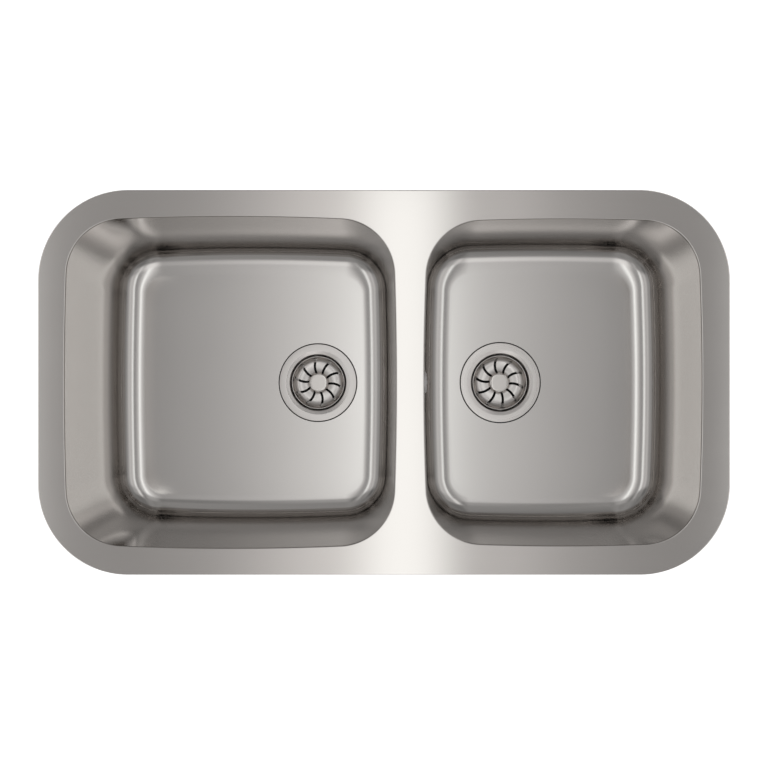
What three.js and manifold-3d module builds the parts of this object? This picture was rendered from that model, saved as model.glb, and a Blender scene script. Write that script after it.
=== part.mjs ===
// A double bowl kitchen sink of pressed stainless steel, with its two strainer wastes and its overflow.
// Millimetres, +Z up. The origin is the middle of the divider's top face. +Y is the back of the sink.
import * as THREE from 'three';
import { mergeVertices } from 'three/addons/utils/BufferGeometryUtils.js';
import Module from 'manifold-3d';

const wasm = await Module();
wasm.setup();

// ---- Driving dimensions ----

// Rim
const RIM_DEPTH = 470;
const RIM_CORNER = 110;
const RIM_LEFT = 32;
const RIM_RIGHT = 34;
const DIVIDER = 35;
const RIM_SHEET = 1.2;

// Bowls: each opening is a rounded rectangle whose sides bow outwards a little
const LEFT_OPENING = { width: 405, length: 405, sideBow: 5, endBow: 6.5, corner: 69 };
const RIGHT_OPENING = { width: 339, length: 399, sideBow: 6, endBow: 5, corner: 69 };
const LEFT_DEPTH = 200;
const RIGHT_DEPTH = 163;
const LEFT_DRAIN_X = -128;
const RIGHT_DRAIN_X = 132;
const WALL_DRAFT = THREE.MathUtils.degToRad(3.1);
// Fillet between wall and floor: its reach along the floor and up the wall, and its superellipse exponent
const FILLET_RUN = 33;
const FILLET_RISE = 22;
const FILLET_POWER = 2.1;
const BOWL_SHEET = 1;
const WELD_LIP = 6;

// Seat that is pressed into each floor for the strainer
const SEAT_RADIUS = 57.6;
const SEAT_DEPTH = 2.2;
const SEAT_HOLE = 45.5;

// Damping pads under the floors
const PAD_THICKNESS = 3;
const PAD_MARGIN = 8;
const PAD_HOLE = 63;

// Strainer waste. Heights are measured from the top of the bowl's floor.
const WASTE_SHEET = 0.8;
const FLANGE_RADIUS = 56.8;
const CUP_MOUTH = 41;
const CUP_MOUTH_FILLET = 5.5;
const CUP_FLOOR = -38;
const CUP_FLOOR_RADIUS = 34.5;
const CUP_FLOOR_FILLET = 4;
const SEAT_BEAD_RADIUS = 28.5;
const SEAT_BEAD_HEIGHT = 1.5;
const DRAIN_HOLES = 8;
const DRAIN_HOLE_RADIUS = 4.5;
const DRAIN_HOLE_RING = 18;
const SEAL_BORE = 48;
const SEAL_THICKNESS = 0.8;
const GASKET_THICKNESS = 2;
const BODY_RIM = 57;
const BODY_BORE = 48.5;
const BODY_WALL = 2.5;
const BODY_RIM_THICKNESS = 4;
const BODY_CONE_TOP = -45;
const BODY_CONE_FOOT = -56;
const OUTLET_BORE = 20;
const OUTLET_OUTSIDE = 23.9;
const OUTLET_END = -95;
const HUB_RADIUS = 8.5;
const HUB_TOP = -45;
const HUB_FOOT = -62;
const RIB_HEIGHT = 10;
const RIB_THICKNESS = 3;

// Basket and plug
const BASKET_RIM_RADIUS = 37.8;
const BASKET_RIM_HEIGHT = -5;
const BASKET_LIP = 1.4;
const BASKET_TROUGH_HEIGHT = -19;
const BASKET_BOSS_RADIUS = 13.5;
const BASKET_BOSS_HEIGHT = -10.3;
const SLOTS = 10;
const SLOT_WIDTH = 2.4;
const SLOT_START_RADIUS = 15.1;
const SLOT_START_ANGLE = THREE.MathUtils.degToRad(-5);
const SLOT_START_HEADING = THREE.MathUtils.degToRad(7.7);
const SLOT_BEND_RADIUS = 23;
const SLOT_SWEEP = THREE.MathUtils.degToRad(46);
const CAP_HALF_WIDTH = 12;
const CAP_THICKNESS = 2;
const CAP_SQUARENESS = 2.8;
const STEM_RADIUS = 3;
const PLUG_TRAVEL = 4;
const PLUG_RADIUS = 31;
const PLUG_THICKNESS = 4;
const PLUG_DOME_WALL = 2.5;
const STEM_COLLAR_RADIUS = 5.5;
const STEM_BEAD = 1;
const SCREW_HEAD_RADIUS = 8;
const SCREW_HEAD_HEIGHT = 10;
const SCREW_END = -64;
const INSERT_RADIUS = 5.5;

// Overflow on the divider wall of the right bowl
const OVERFLOW_HEIGHT = -48;
const DIMPLE_RADIUS = 20;
const DIMPLE_DEPTH = 3.5;
const OVERFLOW_HOLE = 10;
const ROSETTE_RADIUS = 14;
const ROSETTE_RISE = 2.6;
const ELBOW_RADIUS = 16;
const ELBOW_LENGTH = 24;
const ELBOW_WALL = 2;
const ELBOW_LIP = 1.5;
const ELBOW_BOSS_RADIUS = 4;
const OVERFLOW_GASKET = 1.5;
const ROSETTE_SCREW_RADIUS = 2;
const ROSETTE_SINK = 1.4;
const PIPE_X = 2.5;
const PIPE_RADIUS = 10;
const PIPE_WALL = 1.6;
const PIPE_BEND = 30;
const SPIGOT_OUTSIDE = 12;
const SPIGOT_END = -86;
const PORT_HEIGHT = -28;
const PORT_LENGTH = 28;
const PIPE_INSERTION = 12;
const WASHER_THICKNESS = 3;
const NUT_LENGTH = 14;
const NUT_WALL = 3.6;
const NUT_GRIPS = 12;
const NUT_GRIP_HEIGHT = 0.7;

// Clearances
const GAP = 0.3;
const SLIDE_GAP = 0.35;

// Fineness of round shapes
const BOW_STEPS = 2;
const CORNER_STEPS = 6;
const FILLET_STEPS = 4;
const TROUGH_STEPS = 7;
const BEND_STEPS = 6;
const SEAT_ROUND = 36;
const LARGE_ROUND = 24;
const MEDIUM_ROUND = 20;
const SMALL_ROUND = 14;

// ---- Finishes ----

const STEEL = { color: 0xb5b2ae, roughness: 0.35, metalness: 1 };
const BRIGHT_STEEL = { color: 0xc4c2be, roughness: 0.25, metalness: 1 };
const CHROME = { color: 0xdedede, roughness: 0.08, metalness: 1 };
const BRASS = { color: 0xb08d4a, roughness: 0.35, metalness: 1 };
const RUBBER = { color: 0x1d1d1d, roughness: 0.8, metalness: 0 };
const PAD_RUBBER = { color: 0x3a3b3d, roughness: 0.9, metalness: 0 };
const PLASTIC = { color: 0xd9d9d6, roughness: 0.5, metalness: 0 };

// ---- Solids ----

/** The manifold solid of a closed three.js geometry. */
function toSolid(geometry) {
  const plain = geometry.clone();
  plain.deleteAttribute('normal');
  plain.deleteAttribute('uv');
  const merged = mergeVertices(plain);
  const mesh = new wasm.Mesh({
    numProp: 3,
    vertProperties: merged.attributes.position.array,
    triVerts: new Uint32Array(merged.index.array),
  });
  return new wasm.Manifold(mesh);
}

/** The three.js geometry of a manifold solid. */
function toGeometry(solid) {
  const mesh = solid.getMesh();
  const geometry = new THREE.BufferGeometry();
  geometry.setAttribute('position', new THREE.BufferAttribute(mesh.vertProperties, 3));
  geometry.setIndex(new THREE.BufferAttribute(mesh.triVerts, 1));
  return geometry;
}

/** A named mesh with its own material. */
function piece(name, geometry, finish) {
  const mesh = new THREE.Mesh(geometry, new THREE.MeshStandardMaterial(finish));
  mesh.name = name;
  return mesh;
}

/** Points [r, z] along an arc, both ends included. Angles are in degrees, from +r towards +z. */
function arc(r, z, radius, from, to, steps) {
  return Array.from({ length: steps + 1 }, (_, i) => {
    const angle = THREE.MathUtils.degToRad(from + (to - from) * i / steps);
    return [r + radius * Math.cos(angle), z + radius * Math.sin(angle)];
  });
}

/** A closed outline of [r, z] points turned round the Z axis. */
function turned(profile, segments) {
  const points = profile.map(([r, z]) => new THREE.Vector2(r, z));
  if (THREE.ShapeUtils.area(points) < 0) {
    points.reverse();
  }
  points.push(points[0].clone());
  return new THREE.LatheGeometry(points, segments).rotateX(Math.PI / 2);
}

/** A tube or washer round the Z axis. */
function ring(inside, outside, low, high, segments) {
  return turned([[inside, low], [outside, low], [outside, high], [inside, high]], segments);
}

/** A rod on the Z axis. */
function rod(radius, low, high, segments) {
  return ring(0, radius, low, high, segments);
}

/** The closed outline of a sheet. Its upper face is given as [r, z] points from outside inwards. */
function sheetOutline(upper, thickness) {
  const points = upper.map(([r, z]) => new THREE.Vector2(r, z));
  const lower = points.map((point, i) => {
    const before = points[Math.max(i - 1, 0)];
    const after = points[Math.min(i + 1, points.length - 1)];
    const first = (i === 0 ? after.clone().sub(point) : point.clone().sub(before)).normalize();
    const second = (i === points.length - 1 ? first.clone() : after.clone().sub(point)).normalize();
    const along = first.clone().add(second).normalize();
    const down = new THREE.Vector2(-along.y, along.x);
    const stretch = 1 / Math.max(along.dot(first), 0.5);
    return point.clone().addScaledVector(down, thickness * stretch);
  });
  return [...points, ...lower.reverse()].map((point) => [point.x, point.y]);
}

/** A closed skin over rings of equal length, in order along +Z or along a path, with flat ends. */
function skinned(rings) {
  const count = rings[0].length;
  const points = rings.flat();
  const faces = [];
  const quad = (a, b, c, d) => faces.push(a, b, c, a, c, d);
  for (let level = 0; level < rings.length - 1; level += 1) {
    for (let i = 0; i < count; i += 1) {
      const next = (i + 1) % count;
      const low = level * count;
      const high = low + count;
      quad(low + i, low + next, high + next, high + i);
    }
  }
  const top = (rings.length - 1) * count;
  for (let i = 1; i < count - 1; i += 1) {
    faces.push(0, i + 1, i);
    faces.push(top, top + i, top + i + 1);
  }
  const geometry = new THREE.BufferGeometry().setFromPoints(points);
  geometry.setIndex(faces);
  return geometry;
}

// ---- Outlines seen from above ----

/** Radius of the arc that rises by `bow` over a half chord. */
function bowRadius(halfChord, bow) {
  return (halfChord * halfChord + bow * bow) / (2 * bow);
}

/** The crossing with the larger x + y of two circles. */
function outerCrossing(a, radiusA, b, radiusB) {
  const line = b.clone().sub(a);
  const distance = line.length();
  line.normalize();
  const along = (radiusA * radiusA - radiusB * radiusB + distance * distance) / (2 * distance);
  const across = Math.sqrt(radiusA * radiusA - along * along);
  const foot = a.clone().addScaledVector(line, along);
  const side = new THREE.Vector2(-line.y, line.x);
  const one = foot.clone().addScaledVector(side, across);
  const other = foot.clone().addScaledVector(side, -across);
  return one.x + one.y > other.x + other.y ? one : other;
}

/**
 * The outline of a bowl opening, drawn in by `inset`, anticlockwise from +X. Each quarter is half of a bowed
 * side, a corner arc that touches both sides, and half of a bowed end.
 */
function bowedOutline(opening, inset) {
  const halfWidth = opening.width / 2;
  const halfLength = opening.length / 2;
  const sideRadius = bowRadius(halfLength, opening.sideBow);
  const endRadius = bowRadius(halfWidth, opening.endBow);
  const side = new THREE.Vector2(halfWidth - sideRadius, 0);
  const end = new THREE.Vector2(0, halfLength - endRadius);
  const corner = outerCrossing(side, sideRadius - opening.corner, end, endRadius - opening.corner);
  const sideAngle = THREE.MathUtils.radToDeg(corner.clone().sub(side).angle());
  const endAngle = THREE.MathUtils.radToDeg(corner.clone().sub(end).angle());
  const quarter = [
    ...arc(side.x, side.y, sideRadius - inset, 0, sideAngle, BOW_STEPS),
    ...arc(corner.x, corner.y, opening.corner - inset, sideAngle, endAngle, CORNER_STEPS).slice(1),
    ...arc(end.x, end.y, endRadius - inset, endAngle, 90, BOW_STEPS).slice(1),
  ];
  const back = [...quarter].reverse();
  return [
    ...quarter.slice(0, -1),
    ...back.slice(0, -1).map(([x, y]) => [-x, y]),
    ...quarter.slice(0, -1).map(([x, y]) => [-x, -y]),
    ...back.slice(0, -1).map(([x, y]) => [x, -y]),
  ].map(([x, y]) => new THREE.Vector2(x, y));
}

/** A plate of a shape, from `low` upwards. */
function plate(shape, low, thickness, curveSegments = CORNER_STEPS / 2) {
  const geometry = new THREE.ExtrudeGeometry(shape, { depth: thickness, bevelEnabled: false, curveSegments });
  return geometry.translate(0, 0, low);
}

/** A solid of stacked outlines of one opening. Levels are [inset, z], lowest first. */
function stacked(opening, levels) {
  return skinned(levels.map(([inset, z]) => (
    bowedOutline(opening, inset).map((point) => new THREE.Vector3(point.x, point.y, z))
  )));
}

// ---- Rim and bowls ----

const leftBowlX = -(DIVIDER + LEFT_OPENING.width) / 2;
const rightBowlX = (DIVIDER + RIGHT_OPENING.width) / 2;
const rimWest = -(DIVIDER / 2 + LEFT_OPENING.width + RIM_LEFT);
const rimEast = DIVIDER / 2 + RIGHT_OPENING.width + RIM_RIGHT;
const lipTop = -RIM_SHEET - GAP;

/** The flat rim: a rounded rectangle with the two openings. */
function rim() {
  const shape = new THREE.Shape();
  const half = RIM_DEPTH / 2;
  const west = rimWest + RIM_CORNER;
  const east = rimEast - RIM_CORNER;
  const north = half - RIM_CORNER;
  shape.absarc(east, north, RIM_CORNER, 0, Math.PI / 2);
  shape.absarc(west, north, RIM_CORNER, Math.PI / 2, Math.PI);
  shape.absarc(west, -north, RIM_CORNER, Math.PI, Math.PI * 1.5);
  shape.absarc(east, -north, RIM_CORNER, Math.PI * 1.5, Math.PI * 2);
  const move = (x) => (point) => point.add(new THREE.Vector2(x, 0));
  shape.holes.push(new THREE.Path(bowedOutline(LEFT_OPENING, 0).map(move(leftBowlX))));
  shape.holes.push(new THREE.Path(bowedOutline(RIGHT_OPENING, 0).map(move(rightBowlX))));
  return plate(shape, -RIM_SHEET, RIM_SHEET, CORNER_STEPS);
}

/**
 * The section of a bowl's floor edge, fillet and wall as [inset, z], lowest first, moved out by `outward`.
 * The fillet is a superellipse between the floor and the wall, which leaves both without a jump in curvature.
 */
function bowlSection(depth, outward, top) {
  const slope = Math.tan(WALL_DRAFT);
  const power = 2 / FILLET_POWER;
  const fillet = Array.from({ length: FILLET_STEPS + 1 }, (_, i) => {
    const turn = (Math.PI / 2) * (1 - i / FILLET_STEPS);
    const along = Math.abs(Math.cos(turn));
    const up = Math.sin(turn);
    const z = FILLET_RISE * (1 - up ** power) - depth;
    const inset = FILLET_RUN * (1 - along ** power) - z * slope;
    const down = FILLET_RISE * along ** (2 - power);
    const across = FILLET_RUN * up ** (2 - power) + down * slope;
    const out = new THREE.Vector2(-down, -across).setLength(outward);
    return [inset + out.x, z + out.y];
  });
  const wallTop = -top * slope - outward / Math.cos(WALL_DRAFT);
  return [...fillet, [wallTop, top]];
}

/** A drawn bowl with its weld lip, its pressed strainer seat and the waste hole. */
function bowl(opening, depth, drainX) {
  const lipFoot = lipTop - BOWL_SHEET;
  const outside = stacked(opening, [
    ...bowlSection(depth, BOWL_SHEET, lipFoot),
    [-WELD_LIP, lipFoot],
    [-WELD_LIP, lipTop],
  ]);
  const inside = stacked(opening, bowlSection(depth, 0, 0));
  const seatFoot = -depth - SEAT_DEPTH;
  const outerRadius = SEAT_RADIUS + BOWL_SHEET;
  const seatOutside = rod(outerRadius, seatFoot - BOWL_SHEET, -depth - BOWL_SHEET / 2, SEAT_ROUND);
  const seatInside = rod(SEAT_RADIUS, seatFoot, -depth + 1, SEAT_ROUND);
  const hole = rod(SEAT_HOLE, seatFoot - 2 * BOWL_SHEET, seatFoot + 1, SEAT_ROUND);
  return toSolid(outside)
    .subtract(toSolid(inside))
    .add(toSolid(seatOutside.translate(drainX, 0, 0)))
    .subtract(toSolid(seatInside.translate(drainX, 0, 0)))
    .subtract(toSolid(hole.translate(drainX, 0, 0)));
}

/** The damping pad under a floor, cut away round the strainer seat. */
function soundPad(opening, depth, drainX) {
  const [floorEdge] = bowlSection(depth, 0, 0)[0];
  const top = -depth - BOWL_SHEET - GAP;
  const outline = new THREE.Shape(bowedOutline(opening, floorEdge + PAD_MARGIN));
  const sheet = plate(outline, top - PAD_THICKNESS, PAD_THICKNESS);
  const hole = rod(PAD_HOLE, top - PAD_THICKNESS - 1, top + 1, LARGE_ROUND);
  return toGeometry(toSolid(sheet).subtract(toSolid(hole.translate(drainX, 0, 0))));
}

// ---- Strainer waste ----

const seatTop = -SEAT_DEPTH;
const sealLow = seatTop + GAP;
const seatUnderside = -SEAT_DEPTH - BOWL_SHEET;
const gasketTop = seatUnderside - GAP;
const gasketLow = gasketTop - GASKET_THICKNESS;
const bodyTop = gasketLow - GAP;
const headLow = CUP_FLOOR + GAP;
const headTop = headLow + SCREW_HEAD_HEIGHT;
const stemTip = headTop - PLUG_TRAVEL;
const socketFloor = stemTip - PLUG_TRAVEL - SLIDE_GAP;
const screwBore = STEM_RADIUS + SLIDE_GAP;
const plugLow = CUP_FLOOR + SEAT_BEAD_HEIGHT + GAP + PLUG_TRAVEL;
const plugHollowTop = headTop + PLUG_TRAVEL + STEM_BEAD + 2 * GAP;
const plugTop = plugHollowTop + PLUG_DOME_WALL;

/** The strainer cup: flush flange, rounded mouth, tapered wall and a floor with a sealing bead and holes. */
function wasteFlange() {
  const wallFoot = CUP_FLOOR + CUP_FLOOR_FILLET;
  const upper = [
    [FLANGE_RADIUS, 0],
    ...arc(CUP_MOUTH + CUP_MOUTH_FILLET, -CUP_MOUTH_FILLET, CUP_MOUTH_FILLET, 90, 180, 3),
    ...arc(CUP_FLOOR_RADIUS, wallFoot, CUP_FLOOR_FILLET, 0, -90, 2),
    [SEAT_BEAD_RADIUS + 2, CUP_FLOOR],
    [SEAT_BEAD_RADIUS + 0.7, CUP_FLOOR + SEAT_BEAD_HEIGHT],
    [SEAT_BEAD_RADIUS - 0.7, CUP_FLOOR + SEAT_BEAD_HEIGHT],
    [SEAT_BEAD_RADIUS - 2, CUP_FLOOR],
    [screwBore, CUP_FLOOR],
  ];
  let cup = toSolid(turned(sheetOutline(upper, WASTE_SHEET), LARGE_ROUND));
  for (let i = 0; i < DRAIN_HOLES; i += 1) {
    const hole = rod(DRAIN_HOLE_RADIUS, CUP_FLOOR - 2, CUP_FLOOR + 1, 10);
    hole.translate(DRAIN_HOLE_RING, 0, 0).rotateZ(2 * Math.PI * i / DRAIN_HOLES);
    cup = cup.subtract(toSolid(hole));
  }
  return toGeometry(cup);
}

/** The moulded body under the bowl: rim, cylinder, cone, threaded outlet, and a hub on crossed ribs. */
function wasteBody() {
  const outside = BODY_BORE + BODY_WALL;
  const profile = [
    [BODY_BORE, bodyTop],
    [BODY_RIM, bodyTop],
    [BODY_RIM, bodyTop - BODY_RIM_THICKNESS],
    [outside, bodyTop - BODY_RIM_THICKNESS],
    [outside, BODY_CONE_TOP - 1],
    [OUTLET_OUTSIDE, BODY_CONE_FOOT - 2],
    [OUTLET_OUTSIDE, OUTLET_END],
    [OUTLET_BORE, OUTLET_END],
    [OUTLET_BORE, BODY_CONE_FOOT],
    [BODY_BORE, BODY_CONE_TOP],
  ];
  const ribLength = OUTLET_BORE + OUTLET_OUTSIDE;
  const rib = new THREE.BoxGeometry(ribLength, RIB_THICKNESS, RIB_HEIGHT);
  rib.translate(0, 0, HUB_FOOT + RIB_HEIGHT / 2);
  const insertBore = INSERT_RADIUS + GAP;
  return toSolid(turned(profile, LARGE_ROUND))
    .add(toSolid(rib))
    .add(toSolid(rib.clone().rotateZ(Math.PI / 2)))
    .add(toSolid(rod(HUB_RADIUS, HUB_FOOT, HUB_TOP, SMALL_ROUND)))
    .subtract(toSolid(rod(insertBore, HUB_FOOT - 1, HUB_TOP + 1, SMALL_ROUND)));
}

/** The screw that pulls the cup onto the body. Its hollow head guides the basket's stem. */
function fixingScrew() {
  return turned([
    [0, SCREW_END],
    [STEM_RADIUS, SCREW_END],
    [STEM_RADIUS, headLow],
    [SCREW_HEAD_RADIUS, headLow],
    [SCREW_HEAD_RADIUS, headTop - 1],
    [SCREW_HEAD_RADIUS - 1, headTop],
    [screwBore, headTop],
    [screwBore, socketFloor],
    [0, socketFloor],
  ], SMALL_ROUND);
}

/** A cutter for one basket slot: an arc that starts near the middle and bends clockwise, with round ends. */
function slotCutter() {
  const start = new THREE.Vector2(SLOT_START_RADIUS, 0).rotateAround(new THREE.Vector2(), SLOT_START_ANGLE);
  const from = SLOT_START_HEADING + Math.PI / 2;
  const to = from - SLOT_SWEEP;
  const spoke = (angle) => new THREE.Vector2(SLOT_BEND_RADIUS, 0).rotateAround(new THREE.Vector2(), angle);
  const centre = start.clone().sub(spoke(from));
  const end = centre.clone().add(spoke(to));
  const half = SLOT_WIDTH / 2;
  const shape = new THREE.Shape();
  shape.absarc(centre.x, centre.y, SLOT_BEND_RADIUS + half, from, to, true);
  shape.absarc(end.x, end.y, half, to, to - Math.PI, true);
  shape.absarc(centre.x, centre.y, SLOT_BEND_RADIUS - half, to, from, false);
  shape.absarc(start.x, start.y, half, from + Math.PI, from, true);
  return plate(shape, BASKET_TROUGH_HEIGHT - 3, -BASKET_TROUGH_HEIGHT, 1);
}

/** The pressed basket: a ring-shaped trough between a flat boss and a rim, with slots across it. */
function basket() {
  const wallRadius = BASKET_RIM_RADIUS - BASKET_LIP;
  const half = (wallRadius - BASKET_BOSS_RADIUS) / 2;
  const trough = Array.from({ length: TROUGH_STEPS + 1 }, (_, i) => {
    const angle = Math.PI * i / TROUGH_STEPS;
    const top = 2 * i < TROUGH_STEPS ? BASKET_RIM_HEIGHT : BASKET_BOSS_HEIGHT;
    const r = (wallRadius + BASKET_BOSS_RADIUS) / 2 + half * Math.cos(angle);
    return [r, top - (top - BASKET_TROUGH_HEIGHT) * Math.sin(angle)];
  });
  const upper = [[BASKET_RIM_RADIUS, BASKET_RIM_HEIGHT], ...trough, [screwBore, BASKET_BOSS_HEIGHT]];
  let shell = toSolid(turned(sheetOutline(upper, WASTE_SHEET), LARGE_ROUND));
  for (let i = 0; i < SLOTS; i += 1) {
    shell = shell.subtract(toSolid(slotCutter().rotateZ(2 * Math.PI * i / SLOTS)));
  }
  return toGeometry(shell);
}

/** The flat cap on the basket's boss, between a round and a square in outline. */
function basketCap() {
  const points = Array.from({ length: SEAT_ROUND }, (_, i) => {
    const angle = 2 * Math.PI * i / SEAT_ROUND;
    const across = Math.cos(angle);
    const along = Math.sin(angle);
    const sum = Math.abs(across) ** CAP_SQUARENESS + Math.abs(along) ** CAP_SQUARENESS;
    return new THREE.Vector2(across, along).multiplyScalar(CAP_HALF_WIDTH * sum ** (-1 / CAP_SQUARENESS));
  });
  return plate(new THREE.Shape(points), BASKET_BOSS_HEIGHT + GAP, CAP_THICKNESS);
}

/** The stem: it hangs from the cap, spaces the plug with its collar and ends in the screw's hollow head. */
function basketStem() {
  const collarTop = BASKET_BOSS_HEIGHT - WASTE_SHEET - GAP;
  const collarFoot = plugTop + GAP;
  const beadTop = plugHollowTop - GAP;
  return turned([
    [0, stemTip],
    [STEM_RADIUS - 1, stemTip],
    [STEM_RADIUS, stemTip + 1],
    [STEM_RADIUS, beadTop - STEM_BEAD],
    [STEM_RADIUS + STEM_BEAD, beadTop - STEM_BEAD],
    [STEM_RADIUS + STEM_BEAD, beadTop],
    [STEM_RADIUS, beadTop],
    [STEM_RADIUS, collarFoot],
    [STEM_COLLAR_RADIUS, collarFoot],
    [STEM_COLLAR_RADIUS, collarTop],
    [STEM_RADIUS, collarTop],
    [STEM_RADIUS, BASKET_BOSS_HEIGHT],
    [0, BASKET_BOSS_HEIGHT],
  ], SMALL_ROUND);
}

/** The rubber plug: a disc with a hollow dome that clears the screw's head when it is pushed down. */
function stopper() {
  const hollow = SCREW_HEAD_RADIUS + PLUG_DOME_WALL;
  const bevel = 1.2;
  return turned([
    [screwBore, plugHollowTop],
    [hollow, plugHollowTop],
    [hollow, plugLow],
    [PLUG_RADIUS - bevel, plugLow],
    [PLUG_RADIUS, plugLow + bevel],
    [PLUG_RADIUS, plugLow + PLUG_THICKNESS - 2 * bevel],
    [PLUG_RADIUS - bevel, plugLow + PLUG_THICKNESS - bevel],
    [hollow + 4, plugLow + PLUG_THICKNESS + 1],
    [hollow + PLUG_DOME_WALL, plugTop - bevel],
    [hollow + bevel, plugTop],
    [screwBore, plugTop],
  ], MEDIUM_ROUND);
}

/** All the pieces of one strainer waste, in a group at the drain's place. */
function strainer(side, drainX, depth, body) {
  const group = new THREE.Group();
  group.position.set(drainX, 0, -depth);
  const sealTop = sealLow + SEAL_THICKNESS;
  const seal = ring(SEAL_BORE, FLANGE_RADIUS - 1, sealLow, sealTop, MEDIUM_ROUND);
  const gasket = ring(SEAL_BORE, BODY_RIM - 0.5, gasketLow, gasketTop, MEDIUM_ROUND);
  const insert = ring(screwBore, INSERT_RADIUS, HUB_FOOT + 1, HUB_TOP - 1, SMALL_ROUND);
  group.add(
    piece(`${side}_waste_flange`, wasteFlange(), BRIGHT_STEEL),
    piece(`${side}_flange_seal`, seal, RUBBER),
    piece(`${side}_body_gasket`, gasket, RUBBER),
    piece(`${side}_waste_body`, toGeometry(body), PLASTIC),
    piece(`${side}_fixing_screw`, fixingScrew(), STEEL),
    piece(`${side}_screw_insert`, insert, BRASS),
    piece(`${side}_stopper`, stopper(), RUBBER),
    piece(`${side}_basket_stem`, basketStem(), STEEL),
    piece(`${side}_basket`, basket(), BRIGHT_STEEL),
    piece(`${side}_basket_cap`, basketCap(), BRIGHT_STEEL),
  );
  return group;
}

// ---- Overflow ----

/** The middle of the overflow on the right bowl's divider wall, with Z square to the wall, into the bowl. */
const overflowFrame = new THREE.Matrix4()
  .makeTranslation(DIVIDER / 2 - OVERFLOW_HEIGHT * Math.tan(WALL_DRAFT), 0, OVERFLOW_HEIGHT)
  .multiply(new THREE.Matrix4().makeRotationY(Math.PI / 2 - WALL_DRAFT));
const dimpleBack = -DIMPLE_DEPTH - BOWL_SHEET;
const elbowFace = dimpleBack - 2 * GAP - OVERFLOW_GASKET;
const rosetteFloor = ROSETTE_RISE - ROSETTE_SINK;

/** Adds the round dimple and the overflow hole to a bowl. */
function withOverflow(shell) {
  const outside = turned([
    [0, dimpleBack],
    [DIMPLE_RADIUS - 1.5, dimpleBack],
    [DIMPLE_RADIUS + 1, -BOWL_SHEET / 2],
    [0, -BOWL_SHEET / 2],
  ], MEDIUM_ROUND);
  const inside = turned([
    [0, -DIMPLE_DEPTH],
    [DIMPLE_RADIUS - 2, -DIMPLE_DEPTH],
    [DIMPLE_RADIUS, 0],
    [DIMPLE_RADIUS, 3],
    [0, 3],
  ], MEDIUM_ROUND);
  const hole = rod(OVERFLOW_HOLE, dimpleBack - 1, -1, SMALL_ROUND);
  return shell
    .add(toSolid(outside.applyMatrix4(overflowFrame)))
    .subtract(toSolid(inside.applyMatrix4(overflowFrame)))
    .subtract(toSolid(hole.applyMatrix4(overflowFrame)));
}

/** The domed rosette, sunk in the middle for its screw. Water passes behind its edge. */
function rosette() {
  const edge = -0.8;
  const sinkRadius = 5;
  return turned(sheetOutline([
    [ROSETTE_RADIUS, edge],
    [ROSETTE_RADIUS - 0.4, edge + 1.4],
    [ROSETTE_RADIUS - 3, ROSETTE_RISE - 0.6],
    [sinkRadius, ROSETTE_RISE],
    [sinkRadius - 0.6, rosetteFloor],
    [ROSETTE_SCREW_RADIUS + SLIDE_GAP, rosetteFloor],
  ], WASTE_SHEET), MEDIUM_ROUND);
}

/** The screw that holds the rosette to the elbow behind the wall. */
function rosetteScrew() {
  const headUnderside = rosetteFloor + GAP;
  const headRadius = 2 * ROSETTE_SCREW_RADIUS;
  const end = elbowFace - 12;
  return turned([
    [0, end],
    [ROSETTE_SCREW_RADIUS, end],
    [ROSETTE_SCREW_RADIUS, headUnderside],
    [headRadius, headUnderside],
    [headRadius, headUnderside + 0.6],
    [headRadius - 1, headUnderside + 1.4],
    [0, headUnderside + 1.6],
  ], SMALL_ROUND);
}

/**
 * The elbow behind the wall: a round chamber, a spigot that points down, and a boss that reaches through the
 * overflow hole and takes the rosette and its screw.
 */
function elbow() {
  const back = elbowFace - ELBOW_LENGTH;
  const chamber = turned([
    [0, back],
    [ELBOW_RADIUS, back],
    [ELBOW_RADIUS, elbowFace - ELBOW_WALL],
    [ELBOW_RADIUS + ELBOW_LIP, elbowFace - ELBOW_WALL],
    [ELBOW_RADIUS + ELBOW_LIP, elbowFace],
    [0, elbowFace],
  ], MEDIUM_ROUND);
  const hollow = rod(ELBOW_RADIUS - ELBOW_WALL, back + ELBOW_WALL, elbowFace + 1, MEDIUM_ROUND);
  const bossTop = rosetteFloor - WASTE_SHEET - GAP;
  const boss = rod(ELBOW_BOSS_RADIUS, back + ELBOW_WALL / 2, bossTop, SMALL_ROUND);
  const bossBore = rod(ROSETTE_SCREW_RADIUS + GAP, back + 2 * ELBOW_WALL, bossTop + 1, SMALL_ROUND);
  const spigotTop = OVERFLOW_HEIGHT - ELBOW_RADIUS / 2;
  const spigot = rod(SPIGOT_OUTSIDE, SPIGOT_END, spigotTop, MEDIUM_ROUND).translate(PIPE_X, 0, 0);
  const bore = rod(PIPE_RADIUS + GAP, SPIGOT_END - 1, spigotTop, MEDIUM_ROUND).translate(PIPE_X, 0, 0);
  return toGeometry(toSolid(chamber.applyMatrix4(overflowFrame))
    .add(toSolid(spigot))
    .subtract(toSolid(hollow.applyMatrix4(overflowFrame)))
    .add(toSolid(boss.applyMatrix4(overflowFrame)))
    .subtract(toSolid(bossBore.applyMatrix4(overflowFrame)))
    .subtract(toSolid(bore)));
}

const portHeight = PORT_HEIGHT - RIGHT_DEPTH;
const portEnd = RIGHT_DRAIN_X - BODY_BORE - PORT_LENGTH;

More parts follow.
